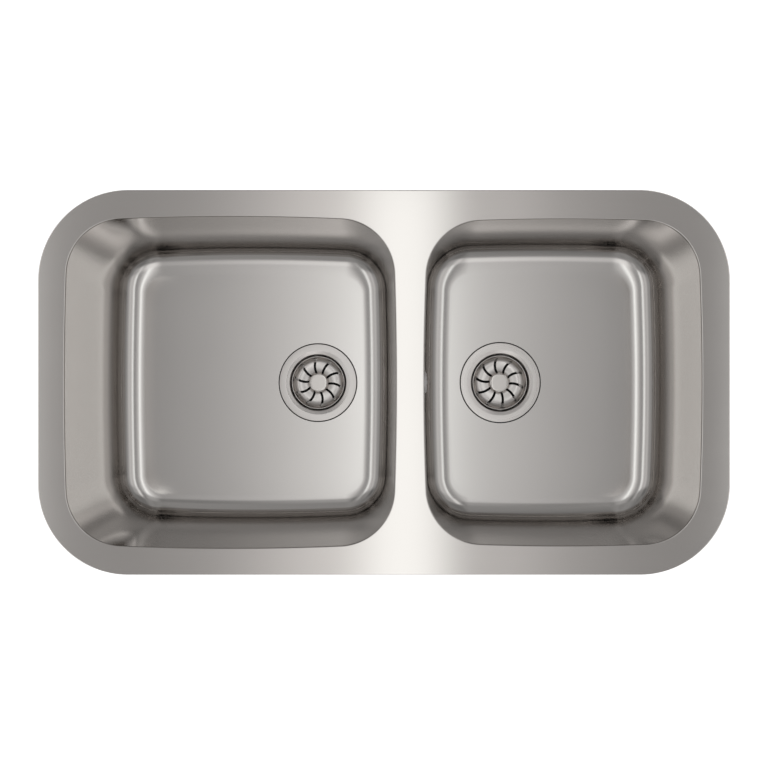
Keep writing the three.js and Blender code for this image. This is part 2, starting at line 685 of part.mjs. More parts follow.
/** A body of the right waste: the same moulding with a port for the overflow pipe on its divider side. */
function bodyWithPort() {
  const length = PORT_LENGTH + BODY_WALL;
  const toPort = new THREE.Matrix4()
    .makeTranslation(-BODY_BORE - PORT_LENGTH, 0, PORT_HEIGHT)
    .multiply(new THREE.Matrix4().makeRotationY(Math.PI / 2));
  const spigot = rod(SPIGOT_OUTSIDE, 0, length, MEDIUM_ROUND).applyMatrix4(toPort);
  const bore = rod(PIPE_RADIUS + GAP, -1, length + 6, MEDIUM_ROUND).applyMatrix4(toPort);
  return wasteBody().add(toSolid(spigot)).subtract(toSolid(bore));
}

/** A round section along the pipe's route: down beside the wall, round the bend and into the port. */
function pipeRod(radius, overrun) {
  const top = SPIGOT_END + PIPE_INSERTION + overrun;
  const far = portEnd + PIPE_INSERTION + overrun;
  const bendX = PIPE_X + PIPE_BEND;
  const bendZ = portHeight + PIPE_BEND;
  const bend = arc(bendX, bendZ, PIPE_BEND, 180, 270, BEND_STEPS);
  const stations = [[PIPE_X, top], ...bend, [far, portHeight]];
  return skinned(stations.map(([x, z], station) => {
    const progress = Math.min(Math.max(station - 1, 0), BEND_STEPS) / BEND_STEPS;
    const heading = (progress - 1) * Math.PI / 2;
    const across = new THREE.Vector3(-Math.sin(heading), 0, Math.cos(heading));
    return Array.from({ length: MEDIUM_ROUND }, (_, i) => {
      const angle = 2 * Math.PI * i / MEDIUM_ROUND;
      return new THREE.Vector3(x, 0, z)
        .addScaledVector(across, radius * Math.sin(angle))
        .add(new THREE.Vector3(0, radius * Math.cos(angle), 0));
    });
  }));
}

/** The moulded overflow pipe. */
function overflowPipe() {
  return toGeometry(toSolid(pipeRod(PIPE_RADIUS, 0)).subtract(toSolid(pipeRod(PIPE_RADIUS - PIPE_WALL, 1))));
}

/** A pipe nut with finger grips. Z runs back along the spigot, with 0 at the spigot's end. */
function pipeNut() {
  const count = 4 * NUT_GRIPS;
  const points = Array.from({ length: count }, (_, i) => {
    const angle = 2 * Math.PI * i / count;
    const radius = SPIGOT_OUTSIDE + NUT_WALL + NUT_GRIP_HEIGHT * Math.cos(NUT_GRIPS * angle);
    return new THREE.Vector2(Math.cos(angle), Math.sin(angle)).multiplyScalar(radius);
  });
  const endWall = -WASHER_THICKNESS - 2 * GAP;
  const low = endWall - 3;
  const outside = plate(new THREE.Shape(points), low, NUT_LENGTH - low);
  const bore = turned([
    [0, low - 1],
    [PIPE_RADIUS + GAP, low - 1],
    [PIPE_RADIUS + GAP, endWall],
    [SPIGOT_OUTSIDE + GAP, endWall],
    [SPIGOT_OUTSIDE + GAP, NUT_LENGTH + 1],
    [0, NUT_LENGTH + 1],
  ], MEDIUM_ROUND);
  return toGeometry(toSolid(outside).subtract(toSolid(bore)));
}

/** The rubber ring that the nut presses onto the pipe. */
function pipeWasher() {
  return ring(PIPE_RADIUS + GAP, SPIGOT_OUTSIDE, -WASHER_THICKNESS - GAP, -GAP, MEDIUM_ROUND);
}

/** The overflow's pieces. */
function overflow() {
  const onWall = new THREE.Group();
  onWall.applyMatrix4(overflowFrame);
  const gasket = ring(OVERFLOW_HOLE + 1, ELBOW_RADIUS + 1, elbowFace + GAP, dimpleBack - GAP, MEDIUM_ROUND);
  onWall.add(
    piece('overflow_rosette', rosette(), CHROME),
    piece('overflow_screw', rosetteScrew(), CHROME),
    piece('overflow_gasket', gasket, RUBBER),
  );
  const upperJoint = new THREE.Group();
  upperJoint.position.set(PIPE_X, 0, SPIGOT_END);
  upperJoint.add(
    piece('overflow_upper_nut', pipeNut(), PLASTIC),
    piece('overflow_upper_washer', pipeWasher(), RUBBER),
  );
  const lowerJoint = new THREE.Group();
  lowerJoint.position.set(portEnd, 0, portHeight);
  lowerJoint.rotation.y = Math.PI / 2;
  lowerJoint.add(
    piece('overflow_lower_nut', pipeNut(), PLASTIC),
    piece('overflow_lower_washer', pipeWasher(), RUBBER),
  );
  const group = new THREE.Group();
  group.add(
    onWall,
    piece('overflow_elbow', elbow(), PLASTIC),
    piece('overflow_pipe', overflowPipe(), PLASTIC),
    upperJoint,
    lowerJoint,
  );
  return group;
}

// ---- The whole sink ----

const leftDrain = LEFT_DRAIN_X - leftBowlX;
const rightDrain = RIGHT_DRAIN_X - rightBowlX;
const leftShell = bowl(LEFT_OPENING, LEFT_DEPTH, leftDrain).translate(leftBowlX, 0, 0);
const rightShell = bowl(RIGHT_OPENING, RIGHT_DEPTH, rightDrain).translate(rightBowlX, 0, 0);
const leftPad = soundPad(LEFT_OPENING, LEFT_DEPTH, leftDrain).translate(leftBowlX, 0, 0);
const rightPad = soundPad(RIGHT_OPENING, RIGHT_DEPTH, rightDrain).translate(rightBowlX, 0, 0);

const sink = new THREE.Group();
sink.add(
  piece('deck_plate', rim(), STEEL),
  piece('left_bowl', toGeometry(leftShell), STEEL),
  piece('right_bowl', toGeometry(withOverflow(rightShell)), STEEL),
  piece('left_sound_pad', leftPad, PAD_RUBBER),
  piece('right_sound_pad', rightPad, PAD_RUBBER),
  strainer('left', LEFT_DRAIN_X, LEFT_DEPTH, wasteBody()),
  strainer('right', RIGHT_DRAIN_X, RIGHT_DEPTH, bodyWithPort()),
  overflow(),
);

export default sink;
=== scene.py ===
"""A double bowl kitchen sink of satin stainless steel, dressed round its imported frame.

Lengths in this file are millimetres, and a mesh is scaled to metres when it is made. The axes are the frame's:
+X towards the narrow bowl, +Y towards the back, +Z up, from the middle of the divider's top face.
"""

import logging
import math
from dataclasses import dataclass, field
from enum import Enum
from typing import Callable, Sequence

import bmesh
import bpy
import numpy as np
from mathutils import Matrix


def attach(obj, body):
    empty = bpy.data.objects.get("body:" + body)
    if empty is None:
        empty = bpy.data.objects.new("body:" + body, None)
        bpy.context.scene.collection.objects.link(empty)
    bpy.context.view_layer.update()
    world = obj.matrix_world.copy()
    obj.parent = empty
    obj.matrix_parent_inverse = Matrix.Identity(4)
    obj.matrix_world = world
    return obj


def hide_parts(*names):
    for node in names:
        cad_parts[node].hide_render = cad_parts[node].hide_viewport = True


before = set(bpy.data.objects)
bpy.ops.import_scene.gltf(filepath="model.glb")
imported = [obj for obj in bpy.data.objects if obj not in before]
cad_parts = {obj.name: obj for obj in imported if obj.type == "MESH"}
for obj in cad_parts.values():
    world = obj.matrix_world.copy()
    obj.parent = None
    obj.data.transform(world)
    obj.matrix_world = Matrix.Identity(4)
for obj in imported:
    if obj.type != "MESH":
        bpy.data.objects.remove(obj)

Array = np.ndarray
Material = bpy.types.Material
Socket = bpy.types.NodeSocket
Triple = tuple[float, float, float]

LOG = logging.getLogger("sink")
MM = 0.001
FULL_TURN = 2 * math.pi
QUARTER = math.pi / 2
WELD = 0.004


# ---- Surfaces as arrays ----


@dataclass(frozen=True)
class Placement:
    """A place for a shape: its own axes, as the rows of a turn, and its origin."""

    origin: Triple = (0.0, 0.0, 0.0)
    x_axis: Triple = (1.0, 0.0, 0.0)
    z_axis: Triple = (0.0, 0.0, 1.0)

    def turn(self) -> Array:
        """The shape's axes as rows."""
        return np.stack([self.x_axis, np.cross(self.z_axis, self.x_axis), self.z_axis])

    def put(self, points: Array) -> Array:
        """Moves points from the shape's own axes to the frame's: origin + x X + y Y + z Z."""
        return points @ self.turn() + np.array(self.origin)

    def local(self, points: Array) -> Array:
        """Moves points from the frame's axes to the shape's own."""
        return (points - np.array(self.origin)) @ self.turn().T


@dataclass
class Skin:
    """Grids of points that are welded into one mesh."""

    points: list[Array] = field(default_factory=list)
    quads: list[Array] = field(default_factory=list)
    count: int = 0

    def add(self, grid: Array, wrap: bool = False, loop: bool = False, keep: Array | None = None) -> "Skin":
        """Adds a grid of points as quads between neighbours in its rows and columns.

        Args:
            grid: points [rows, columns, 3].
            wrap: joins the last column to the first.
            loop: joins the last row to the first.
            keep: which quads to make [rows, columns], or None for all.

        Returns:
            The skin itself, so that calls can be chained.
        """
        rows, columns = grid.shape[:2]
        index = self.count + np.arange(rows * columns).reshape(rows, columns)
        if wrap:
            index = np.concatenate([index, index[:, :1]], axis=1)
        if loop:
            index = np.concatenate([index, index[:1]], axis=0)
        quads = np.stack([index[:-1, :-1], index[:-1, 1:], index[1:, 1:], index[1:, :-1]], axis=-1)
        self.points.append(grid.reshape(-1, 3))
        self.quads.append(quads.reshape(-1, 4) if keep is None else quads[keep])
        self.count += rows * columns
        return self

    def mesh(self, name: str, facing: Sequence[float] | None, sharp: float) -> bpy.types.Mesh:
        """Welds the grids into a mesh in metres.

        Args:
            name: the mesh's name.
            facing: the direction that most of an open sheet faces, or None for a closed skin.
            sharp: edges that bend more than this, in degrees, are shaded sharp, as open edges are.

        Returns:
            The mesh, with its faces pointing outwards or along facing.
        """
        mesh = bpy.data.meshes.new(name)
        points = np.concatenate(self.points) * MM
        mesh.from_pydata(points.tolist(), [], np.concatenate(self.quads).tolist())
        work = bmesh.new()
        work.from_mesh(mesh)
        bmesh.ops.remove_doubles(work, verts=work.verts, dist=WELD * MM)
        bmesh.ops.dissolve_degenerate(work, edges=work.edges, dist=WELD * MM)
        bmesh.ops.recalc_face_normals(work, faces=work.faces)
        if facing is not None:
            normals = np.array([face.normal[:] for face in work.faces])
            areas = np.array([face.calc_area() for face in work.faces])
            if float((normals @ np.array(facing) * areas).sum()) < 0:
                bmesh.ops.reverse_faces(work, faces=work.faces)
        work.to_mesh(mesh)
        open_edges = np.array([len(edge.link_faces) < 2 for edge in work.edges], dtype=bool)
        work.free()
        mesh.shade_smooth()
        mesh.set_sharp_from_angle(angle=math.radians(sharp))
        marked = np.zeros(len(mesh.edges), dtype=bool)
        mesh.edges.foreach_get("use_edge_sharp", marked)
        mesh.edges.foreach_set("use_edge_sharp", marked | open_edges)
        return mesh


def rounded(corners: Sequence[Triple], closed: bool = True, steps: int = 4) -> Array:
    """Rounds the corners of an outline.

    A corner p with radius q becomes an arc that touches both edges. It touches them q / tan(h) from p, where h
    is half the angle between the edges, and its centre lies q / sin(h) from p on the line that halves the angle.

    Args:
        corners: (r, z, radius) of each corner in order.
        closed: whether the last corner is joined to the first. The ends of an open outline stay sharp.
        steps: pieces in each arc.

    Returns:
        Points [n, 2].
    """
    rows = np.asarray(corners, dtype=float)
    point = rows[:, :2]
    radius = rows[:, 2].copy()
    if not closed:
        radius[[0, -1]] = 0
    before = np.roll(point, 1, axis=0) - point
    after = np.roll(point, -1, axis=0) - point
    near = np.minimum(np.linalg.norm(before, axis=1), np.linalg.norm(after, axis=1))
    before /= np.linalg.norm(before, axis=1)[:, None]
    after /= np.linalg.norm(after, axis=1)[:, None]
    half = np.arccos(np.clip(np.sum(before * after, axis=1), -1, 1)) / 2
    half = np.clip(half, 1e-3, QUARTER - 1e-6)
    reach = np.minimum(radius / np.tan(half), 0.49 * near)
    bisector = before + after
    bisector /= np.maximum(np.linalg.norm(bisector, axis=1), 1e-9)[:, None]
    centre = point + bisector * (reach / np.cos(half))[:, None]
    start = point + before * reach[:, None] - centre
    finish = point + after * reach[:, None] - centre
    share = np.linspace(0, 1, steps + 1)[None, :, None]
    sweep = (math.pi - 2 * half)[:, None, None]
    arcs = np.sin((1 - share) * sweep) * start[:, None] + np.sin(share * sweep) * finish[:, None]
    arcs = arcs / np.maximum(np.sin(sweep), 1e-9) + centre[:, None]
    return np.concatenate([arc if q > 0 else p[None] for arc, q, p in zip(arcs, radius, point)])


def refined(profile: Array, step: float) -> Array:
    """A closed outline with points added so that none of its edges is longer than a step."""
    closed = np.concatenate([profile, profile[:1]])
    run = np.concatenate([[0], np.cumsum(np.linalg.norm(np.diff(closed, axis=0), axis=1))])
    even = np.linspace(0, run[-1], int(run[-1] / step) + 1, endpoint=False)
    at = np.unique(np.round(np.concatenate([run[:-1], even]), 6))
    return np.stack([np.interp(at, run, closed[:, 0]), np.interp(at, run, closed[:, 1])], axis=-1)


def turned(profile: Array, segments: int, ripple: Callable | None = None) -> Array:
    """A profile turned round the Z axis: (r cos a, r sin a, z).

    Args:
        profile: points (r, z) [n, 2].
        segments: columns round the axis.
        ripple: a change of radius as a function of angle, z and radius, or None.

    Returns:
        Points [n, segments, 3].
    """
    angle = np.linspace(0, FULL_TURN, segments, endpoint=False)[None, :]
    radius = profile[:, :1] + 0 * angle
    height = profile[:, 1:] + 0 * angle
    if ripple is not None:
        radius = radius + ripple(angle, height, radius)
    return np.stack([radius * np.cos(angle), radius * np.sin(angle), height], axis=-1)


def thread(pitch: float, depth: float, low: float, high: float, inside_of: float) -> Callable:
    """A screw thread as a change of radius: a rounded triangle wave of z / pitch - a / full turn.

    Args:
        pitch: height of one turn.
        depth: how far the root lies below the crest.
        low: where the thread starts.
        high: where it ends, with half a turn of run-out at either end.
        inside_of: surfaces with a smaller radius stay plain.

    Returns:
        The ripple for turned().
    """

    def ripple(angle: Array, height: Array, radius: Array) -> Array:
        """The change of radius at each point: none at the crests, -depth at the roots."""
        phase = np.mod(height / pitch - angle / FULL_TURN, 1.0)
        wave = np.clip(2.4 * np.abs(phase - 0.5) - 0.1, 0, 1)
        fade = np.clip(np.minimum(height - low, high - height) / (pitch / 2), 0, 1)
        return -depth * wave * fade * (radius > inside_of)

    return ripple


def polar_radius(outline: Array, centre: Array, angle: Array) -> Array:
    """How far a star-shaped outline [n, 2] lies from a centre in each direction, between its dense points."""
    arm = outline - centre
    return np.interp(angle, np.arctan2(arm[:, 1], arm[:, 0]), np.hypot(arm[:, 0], arm[:, 1]), period=FULL_TURN)


def lifted(loops: Array, heights: Array) -> Array:
    """Loops [rows, n, 2] at their heights [rows], as points [rows, n, 3]."""
    level = np.broadcast_to(np.asarray(heights, dtype=float)[:, None, None], loops.shape[:2] + (1,))
    return np.concatenate([loops, level], axis=-1)


@dataclass(frozen=True)
class Opening:
    """A rounded rectangle whose sides bow outwards a little, as the mouth of a bowl does."""

    middle: float
    width: float
    length: float
    side_bow: float
    end_bow: float
    corner: float
    side_steps: int = 40
    corner_steps: int = 30

    def arcs(self) -> tuple[Array, Array, Array]:
        """The arcs that the outline follows, anticlockwise from +X.

        A side that rises by b over a half chord c is an arc of radius (c c + b b) / 2b. The corner's arc touches
        both arcs from inside, so its centre lies on the crossing of circles with radii less by the corner's. The
        first quarter is mirrored in X, and that half is turned by half a turn.

        Returns:
            The arc's centre [n, 2], its radius [n] and the direction from the centre [n, 2] at each point.
        """
        half_width, half_length = self.width / 2, self.length / 2
        side_radius = (half_length**2 + self.side_bow**2) / (2 * self.side_bow)
        end_radius = (half_width**2 + self.end_bow**2) / (2 * self.end_bow)
        side = np.array([half_width - side_radius, 0.0])
        end = np.array([0.0, half_length - end_radius])
        near, far = side_radius - self.corner, end_radius - self.corner
        line = end - side
        distance = float(np.linalg.norm(line))
        line /= distance
        along = (near**2 - far**2 + distance**2) / (2 * distance)
        across = math.sqrt(near**2 - along**2)
        corner = side + along * line + across * np.array([-line[1], line[0]])
        first = math.atan2(*(corner - side)[::-1])
        second = math.atan2(*(corner - end)[::-1])
        side_angles = np.linspace(0, first, self.side_steps, endpoint=False)
        corner_angles = np.linspace(first, second, self.corner_steps, endpoint=False)
        end_angles = np.linspace(second, QUARTER, self.side_steps + 1)
        angle = np.concatenate([side_angles, corner_angles, end_angles])
        counts = [self.side_steps, self.corner_steps, self.side_steps + 1]
        centre = np.repeat([side, corner, end], counts, axis=0)
        radius = np.repeat([side_radius, self.corner, end_radius], counts)
        rows = np.column_stack([centre, np.cos(angle), np.sin(angle), radius])
        half = np.concatenate([rows, (rows * [-1, 1, -1, 1, 1])[-2::-1]])
        full = np.concatenate([half, half[1:-1] * [-1, -1, -1, -1, 1]])
        return full[:, :2] + np.array([self.middle, 0.0]), full[:, 4], full[:, 2:4]

    def loops(self, inset: Array) -> Array:
        """The outline drawn in by each inset [rows], as points [rows, n, 2]: centre + (radius - inset) way."""
        centre, radius, ways = self.arcs()
        reach = radius[None, :] - np.asarray(inset, dtype=float)[:, None]
        return centre[None] + reach[..., None] * ways[None]


@dataclass(frozen=True)
class Slots:
    """A ring of equal holes through a turned sheet: each follows a line c(r) and has round ends."""

    count: int
    inner: float
    outer: float
    width: float
    bend_radius: float = 0.0
    bend_reach: float = 0.0
    bend_angle: float = 0.0

    def line(self, radius: Array) -> tuple[Array, Array]:
        """The angle of a hole's middle line at each radius, and how much the line's slant widens it.

        A bent line is the arc of a circle whose centre lies bend_reach out at bend_angle, so it crosses the
        radius r where cos(c - bend_angle) = (r r + reach reach - bend bend) / (2 r reach).
        """
        if not self.bend_radius:
            return 0 * radius, 1 + 0 * radius

        def crossing(at: Array) -> Array:
            """The line's angle at each radius."""
            top = at**2 + self.bend_reach**2 - self.bend_radius**2
            return self.bend_angle + np.arccos(top / (2 * at * self.bend_reach))

        bounded = np.clip(radius, self.inner, self.outer)
        angle = crossing(bounded)
        step = 0.01
        slant = bounded * (crossing(bounded + step) - angle) / step
        return angle, np.sqrt(1 + slant**2)

    def half_angle(self, radius: Array) -> Array:
        """Half the hole's width as an angle: sqrt(w w / 4 - d d) / r, with d past the centre of a round end."""
        half = self.width / 2
        past = np.maximum(self.inner + half - radius, radius - self.outer + half)
        chord = np.sqrt(np.maximum(half**2 - np.maximum(past, 0) ** 2, 0))
        return chord * self.line(radius)[1] / np.maximum(radius, 1e-6)

    def radii(self, steps: int = 6) -> Array:
        """Radii at which a profile needs rows, so that the round ends are smooth."""
        lean = self.width / 2 * (1 - np.cos(np.linspace(0, QUARTER, steps)))
        return np.concatenate([self.inner + lean, self.outer - lean])

    def lands(self, profile: Array, columns: int) -> list[Array]:
        """The sheet between the holes, one grid for each gap from hole to hole.

        Args:
            profile: points (r, z) [n, 2].
            columns: quads across each land.

        Returns:
            Grids [n, columns + 1, 3] that meet wherever there is no hole.
        """
        radius, height = profile[:, :1], profile[:, 1:]
        start = self.line(radius)[0] + self.half_angle(radius)
        width = FULL_TURN / self.count - 2 * self.half_angle(radius)
        share = np.linspace(0, 1, columns + 1)[None, :]
        grids = []
        for hole in range(self.count):
            angle = start + FULL_TURN * hole / self.count + width * share
            grids.append(np.stack([radius * np.cos(angle), radius * np.sin(angle), height + 0 * angle], axis=-1))
        return grids


# ---- Finishes ----


class Grain(Enum):
    """How a surface was worked."""

    ALONG = "brushed along X"
    RINGS = "turned in rings round an upright axis"
    SATIN = "polished with no direction"


@dataclass
class Nodes:
    """A short way to build the nodes of a material or world."""

    tree: bpy.types.NodeTree

    @classmethod
    def fresh(cls, owner: bpy.types.ID) -> "Nodes":
        """The nodes of a material or world, emptied."""
        owner.use_nodes = True
        owner.node_tree.nodes.clear()
        return cls(owner.node_tree)

    def add(self, kind: str, values: dict | None = None, **settings: object) -> bpy.types.Node:
        """Adds a node, sets its properties and its unlinked inputs, and links inputs given as sockets."""
        node = self.tree.nodes.new(kind)
        for name, value in settings.items():
            setattr(node, name, value)
        for name, value in (values or {}).items():
            if isinstance(value, Socket):
                self.tree.links.new(value, node.inputs[name])
            else:
                node.inputs[name].default_value = value
        return node

    def math(self, operation: str, *values: object) -> Socket:
        """A Math node's result."""
        return self.add("ShaderNodeMath", dict(enumerate(values)), operation=operation).outputs[0]

    def noise(self, place: Socket, scale: float, detail: float, roughness: float) -> Socket:
        """A noise value round 0.5 at a place."""
        values = {"Vector": place, "Scale": scale, "Detail": detail, "Roughness": roughness}
        return self.add("ShaderNodeTexNoise", values).outputs["Fac"]

    def bump(self, height: Socket, strength: float, distance: float) -> Socket:
        """A normal bent by a height."""
        values = {"Height": height, "Strength": strength, "Distance": distance}
        return self.add("ShaderNodeBump", values).outputs[0]

    def spread(self, value: Socket, low: float, high: float, span: float = 0.3) -> Socket:
        """A noise value round 0.5 spread to low ... high, reached span below and above the middle."""
        values = {"Value": value, "From Min": 0.5 - span, "From Max": 0.5 + span, "To Min": low, "To Max": high}
        return self.add("ShaderNodeMapRange", values).outputs["Result"]

    def mixed(self, share: object, low: object, high: object) -> Socket:
        """A mix of two colours, each a socket or a value with alpha."""
        return self.add("ShaderNodeMix", {0: share, 6: low, 7: high}, data_type="RGBA").outputs[2]

    def shades(self, value: Socket, colour: Sequence[float], swing: float) -> Socket:
        """A colour that a noise value round 0.5 makes up to swing darker or lighter."""
        dark = [part * (1 - swing) for part in colour] + [1.0]
        light = [min(part * (1 + swing), 1.0) for part in colour] + [1.0]
        return self.mixed(self.spread(value, 0, 1), dark, light)

    def surface(self, **values: object) -> None:
        """Adds the shader with its inputs, where _ stands for a space, and the output."""
        inputs = {name.replace("_", " "): value for name, value in values.items()}
        shader = self.add("ShaderNodeBsdfPrincipled", inputs)
        self.add("ShaderNodeOutputMaterial", {"Surface": shader.outputs[0]})


def new_material(name: str) -> tuple[Material, Nodes, Socket]:
    """An empty node material, its nodes and its object coordinates."""
    material = bpy.data.materials.new(name)
    nodes = Nodes.fresh(material)
    return material, nodes, nodes.add("ShaderNodeTexCoord").outputs["Object"]


@dataclass(frozen=True)
class Metal:
    """Bare metal with its polishing grain, faint stains and small scratches."""

    colour: Triple
    roughness: float
    grain: Grain = Grain.SATIN
    centre: Triple = (0.0, 0.0, 0.0)
    roughness_swing: float = 0.03
    colour_swing: float = 0.03
    bump: float = 0.03

    def grain_value(self, nodes: Nodes, place: Socket) -> Socket:
        """The fine pattern of the polish, round 0.5."""
        if self.grain is Grain.ALONG:
            stretch = nodes.add("ShaderNodeMapping", {"Vector": place, "Scale": (9.0, 1400.0, 1400.0)})
            return nodes.noise(stretch.outputs[0], 1.0, 4.0, 0.6)
        if self.grain is Grain.RINGS:
            shift = tuple(-part * MM for part in self.centre)
            moved = nodes.add("ShaderNodeMapping", {"Vector": place, "Location": shift, "Scale": (1.0, 1.0, 0.0)})
            distance = nodes.add("ShaderNodeVectorMath", {0: moved.outputs[0]}, operation="LENGTH").outputs["Value"]
            values = {"W": nodes.math("MULTIPLY", distance, 1100.0), "Scale": 1.0, "Detail": 3.0, "Roughness": 0.6}
            return nodes.add("ShaderNodeTexNoise", values, noise_dimensions="1D").outputs["Fac"]
        return nodes.noise(place, 650.0, 5.0, 0.65)

    def material(self, name: str) -> Material:
        """The finish as a material of this name."""
        material, nodes, place = new_material(name)
        grain = self.grain_value(nodes, place)
        cloud = nodes.noise(place, 7.0, 3.0, 0.5)
        swing = self.roughness_swing
        fine = nodes.spread(grain, -swing, swing)
        broad = nodes.spread(cloud, self.roughness - swing / 2, self.roughness + swing / 2)
        both = nodes.math("MULTIPLY_ADD", cloud, 0.5, nodes.math("MULTIPLY", grain, 0.5))
        nodes.surface(
            Base_Color=nodes.shades(both, self.colour, self.colour_swing),
            Roughness=nodes.math("ADD", fine, broad),
            Metallic=1.0,
            Normal=nodes.bump(grain, self.bump, 0.0004),
        )
        return material


@dataclass(frozen=True)
class Moulded:
    """Moulded plastic or rubber: a fine skin texture, with dust or bloom in broad patches."""

    colour: Triple
    roughness: float
    skin_scale: float = 1500.0
    bump: float = 0.08
    colour_swing: float = 0.05
    roughness_swing: float = 0.06

    def material(self, name: str) -> Material:
        """The finish as a material of this name."""
        material, nodes, place = new_material(name)
        bloom = nodes.noise(place, 45.0, 4.0, 0.55)
        low, high = self.roughness - self.roughness_swing, self.roughness + self.roughness_swing
        nodes.surface(
            Base_Color=nodes.shades(bloom, self.colour, self.colour_swing),
            Roughness=nodes.spread(bloom, low, high),
            Normal=nodes.bump(nodes.noise(place, self.skin_scale, 3.0, 0.6), self.bump, 0.0003),
        )
        return material


STEEL_COLOUR = (0.645, 0.61, 0.583)
BOWL_COLOUR = (0.638, 0.612, 0.59)
BRIGHT_COLOUR = (0.69, 0.655, 0.63)
FINISHES = {
    "rim_steel": Metal(STEEL_COLOUR, 0.11, Grain.ALONG, roughness_swing=0.012, bump=0.01),
    "bowl_steel": Metal(BOWL_COLOUR, 0.15, Grain.SATIN, roughness_swing=0.008, bump=0.004),
    "turned_steel": Metal((0.55, 0.54, 0.53), 0.34),
    "brass": Metal((0.62, 0.47, 0.22), 0.35),
    "chrome": Metal((0.96, 0.96, 0.955), 0.5, roughness_swing=0.02, colour_swing=0.01, bump=0.005),
    "rubber": Moulded((0.022, 0.022, 0.023), 0.7),
    "pad_rubber": Moulded((0.11, 0.11, 0.12), 0.88, skin_scale=420.0, bump=0.5, colour_swing=0.18),
    "moulded_plastic": Moulded((0.72, 0.72, 0.70), 0.42),
}
Paint = dict[str, Material]


# ---- Pieces ----


def add_piece(
    node: str,
    skin: Skin,
    finish: Material,
    body: str = "sink",
    sheet: float = 0.0,
    facing: Sequence[float] | None = None,
    sharp: float = 38.0,
) -> None:
    """Makes a visible piece in place of a CAD node.

    Args:
        node: the CAD node that the piece stands for.
        skin: the surface of the piece.
        finish: its material.
        body: the body that it rides on.
        sheet: thickness given to an open surface, behind the side that it faces.
        facing: the direction that most of an open surface faces.
        sharp: bend, in degrees, past which an edge is shaded sharp.
    """
    name = f"{node}_finished"
    mesh = skin.mesh(name, facing, sharp)
    mesh.materials.append(finish)
    piece = bpy.data.objects.new(name, mesh)
    bpy.context.collection.objects.link(piece)
    if sheet:
        wall = piece.modifiers.new("sheet", "SOLIDIFY")
        wall.thickness = sheet * MM
        wall.offset = -1.0
        wall.use_even_offset = True
    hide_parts(node)
    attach(piece, body)
    LOG.info("%s: %d faces on %s", name, len(mesh.polygons), body)


def closed_turning(
    corners: Sequence[Triple],
    place: Placement,
    segments: int = 96,
    ripple: Callable | None = None,
    rows_between: float = 0.0,
) -> Skin:
    """A closed outline with rounded corners, turned round the Z axis of a place.

    Args:
        corners: (r, z, radius) of the outline's corners.
        place: where the piece is.
        segments: columns round the axis.
        ripple: a change of radius for turned(), or None.
        rows_between: the longest step allowed between rows, or 0 for any.

    Returns:
        The skin.
    """
    profile = rounded(corners)
    if rows_between:
        profile = refined(profile, rows_between)
    return Skin().add(place.put(turned(profile, segments, ripple)), wrap=True, loop=True)


# ---- Rim and bowls ----


LEFT_OPENING = Opening(-220.0, 405.0, 405.0, 5.0, 6.5, 69.0)
RIGHT_OPENING = Opening(187.0, 339.0, 399.0, 6.0, 5.0, 69.0)
DRAFT = math.radians(3.1)


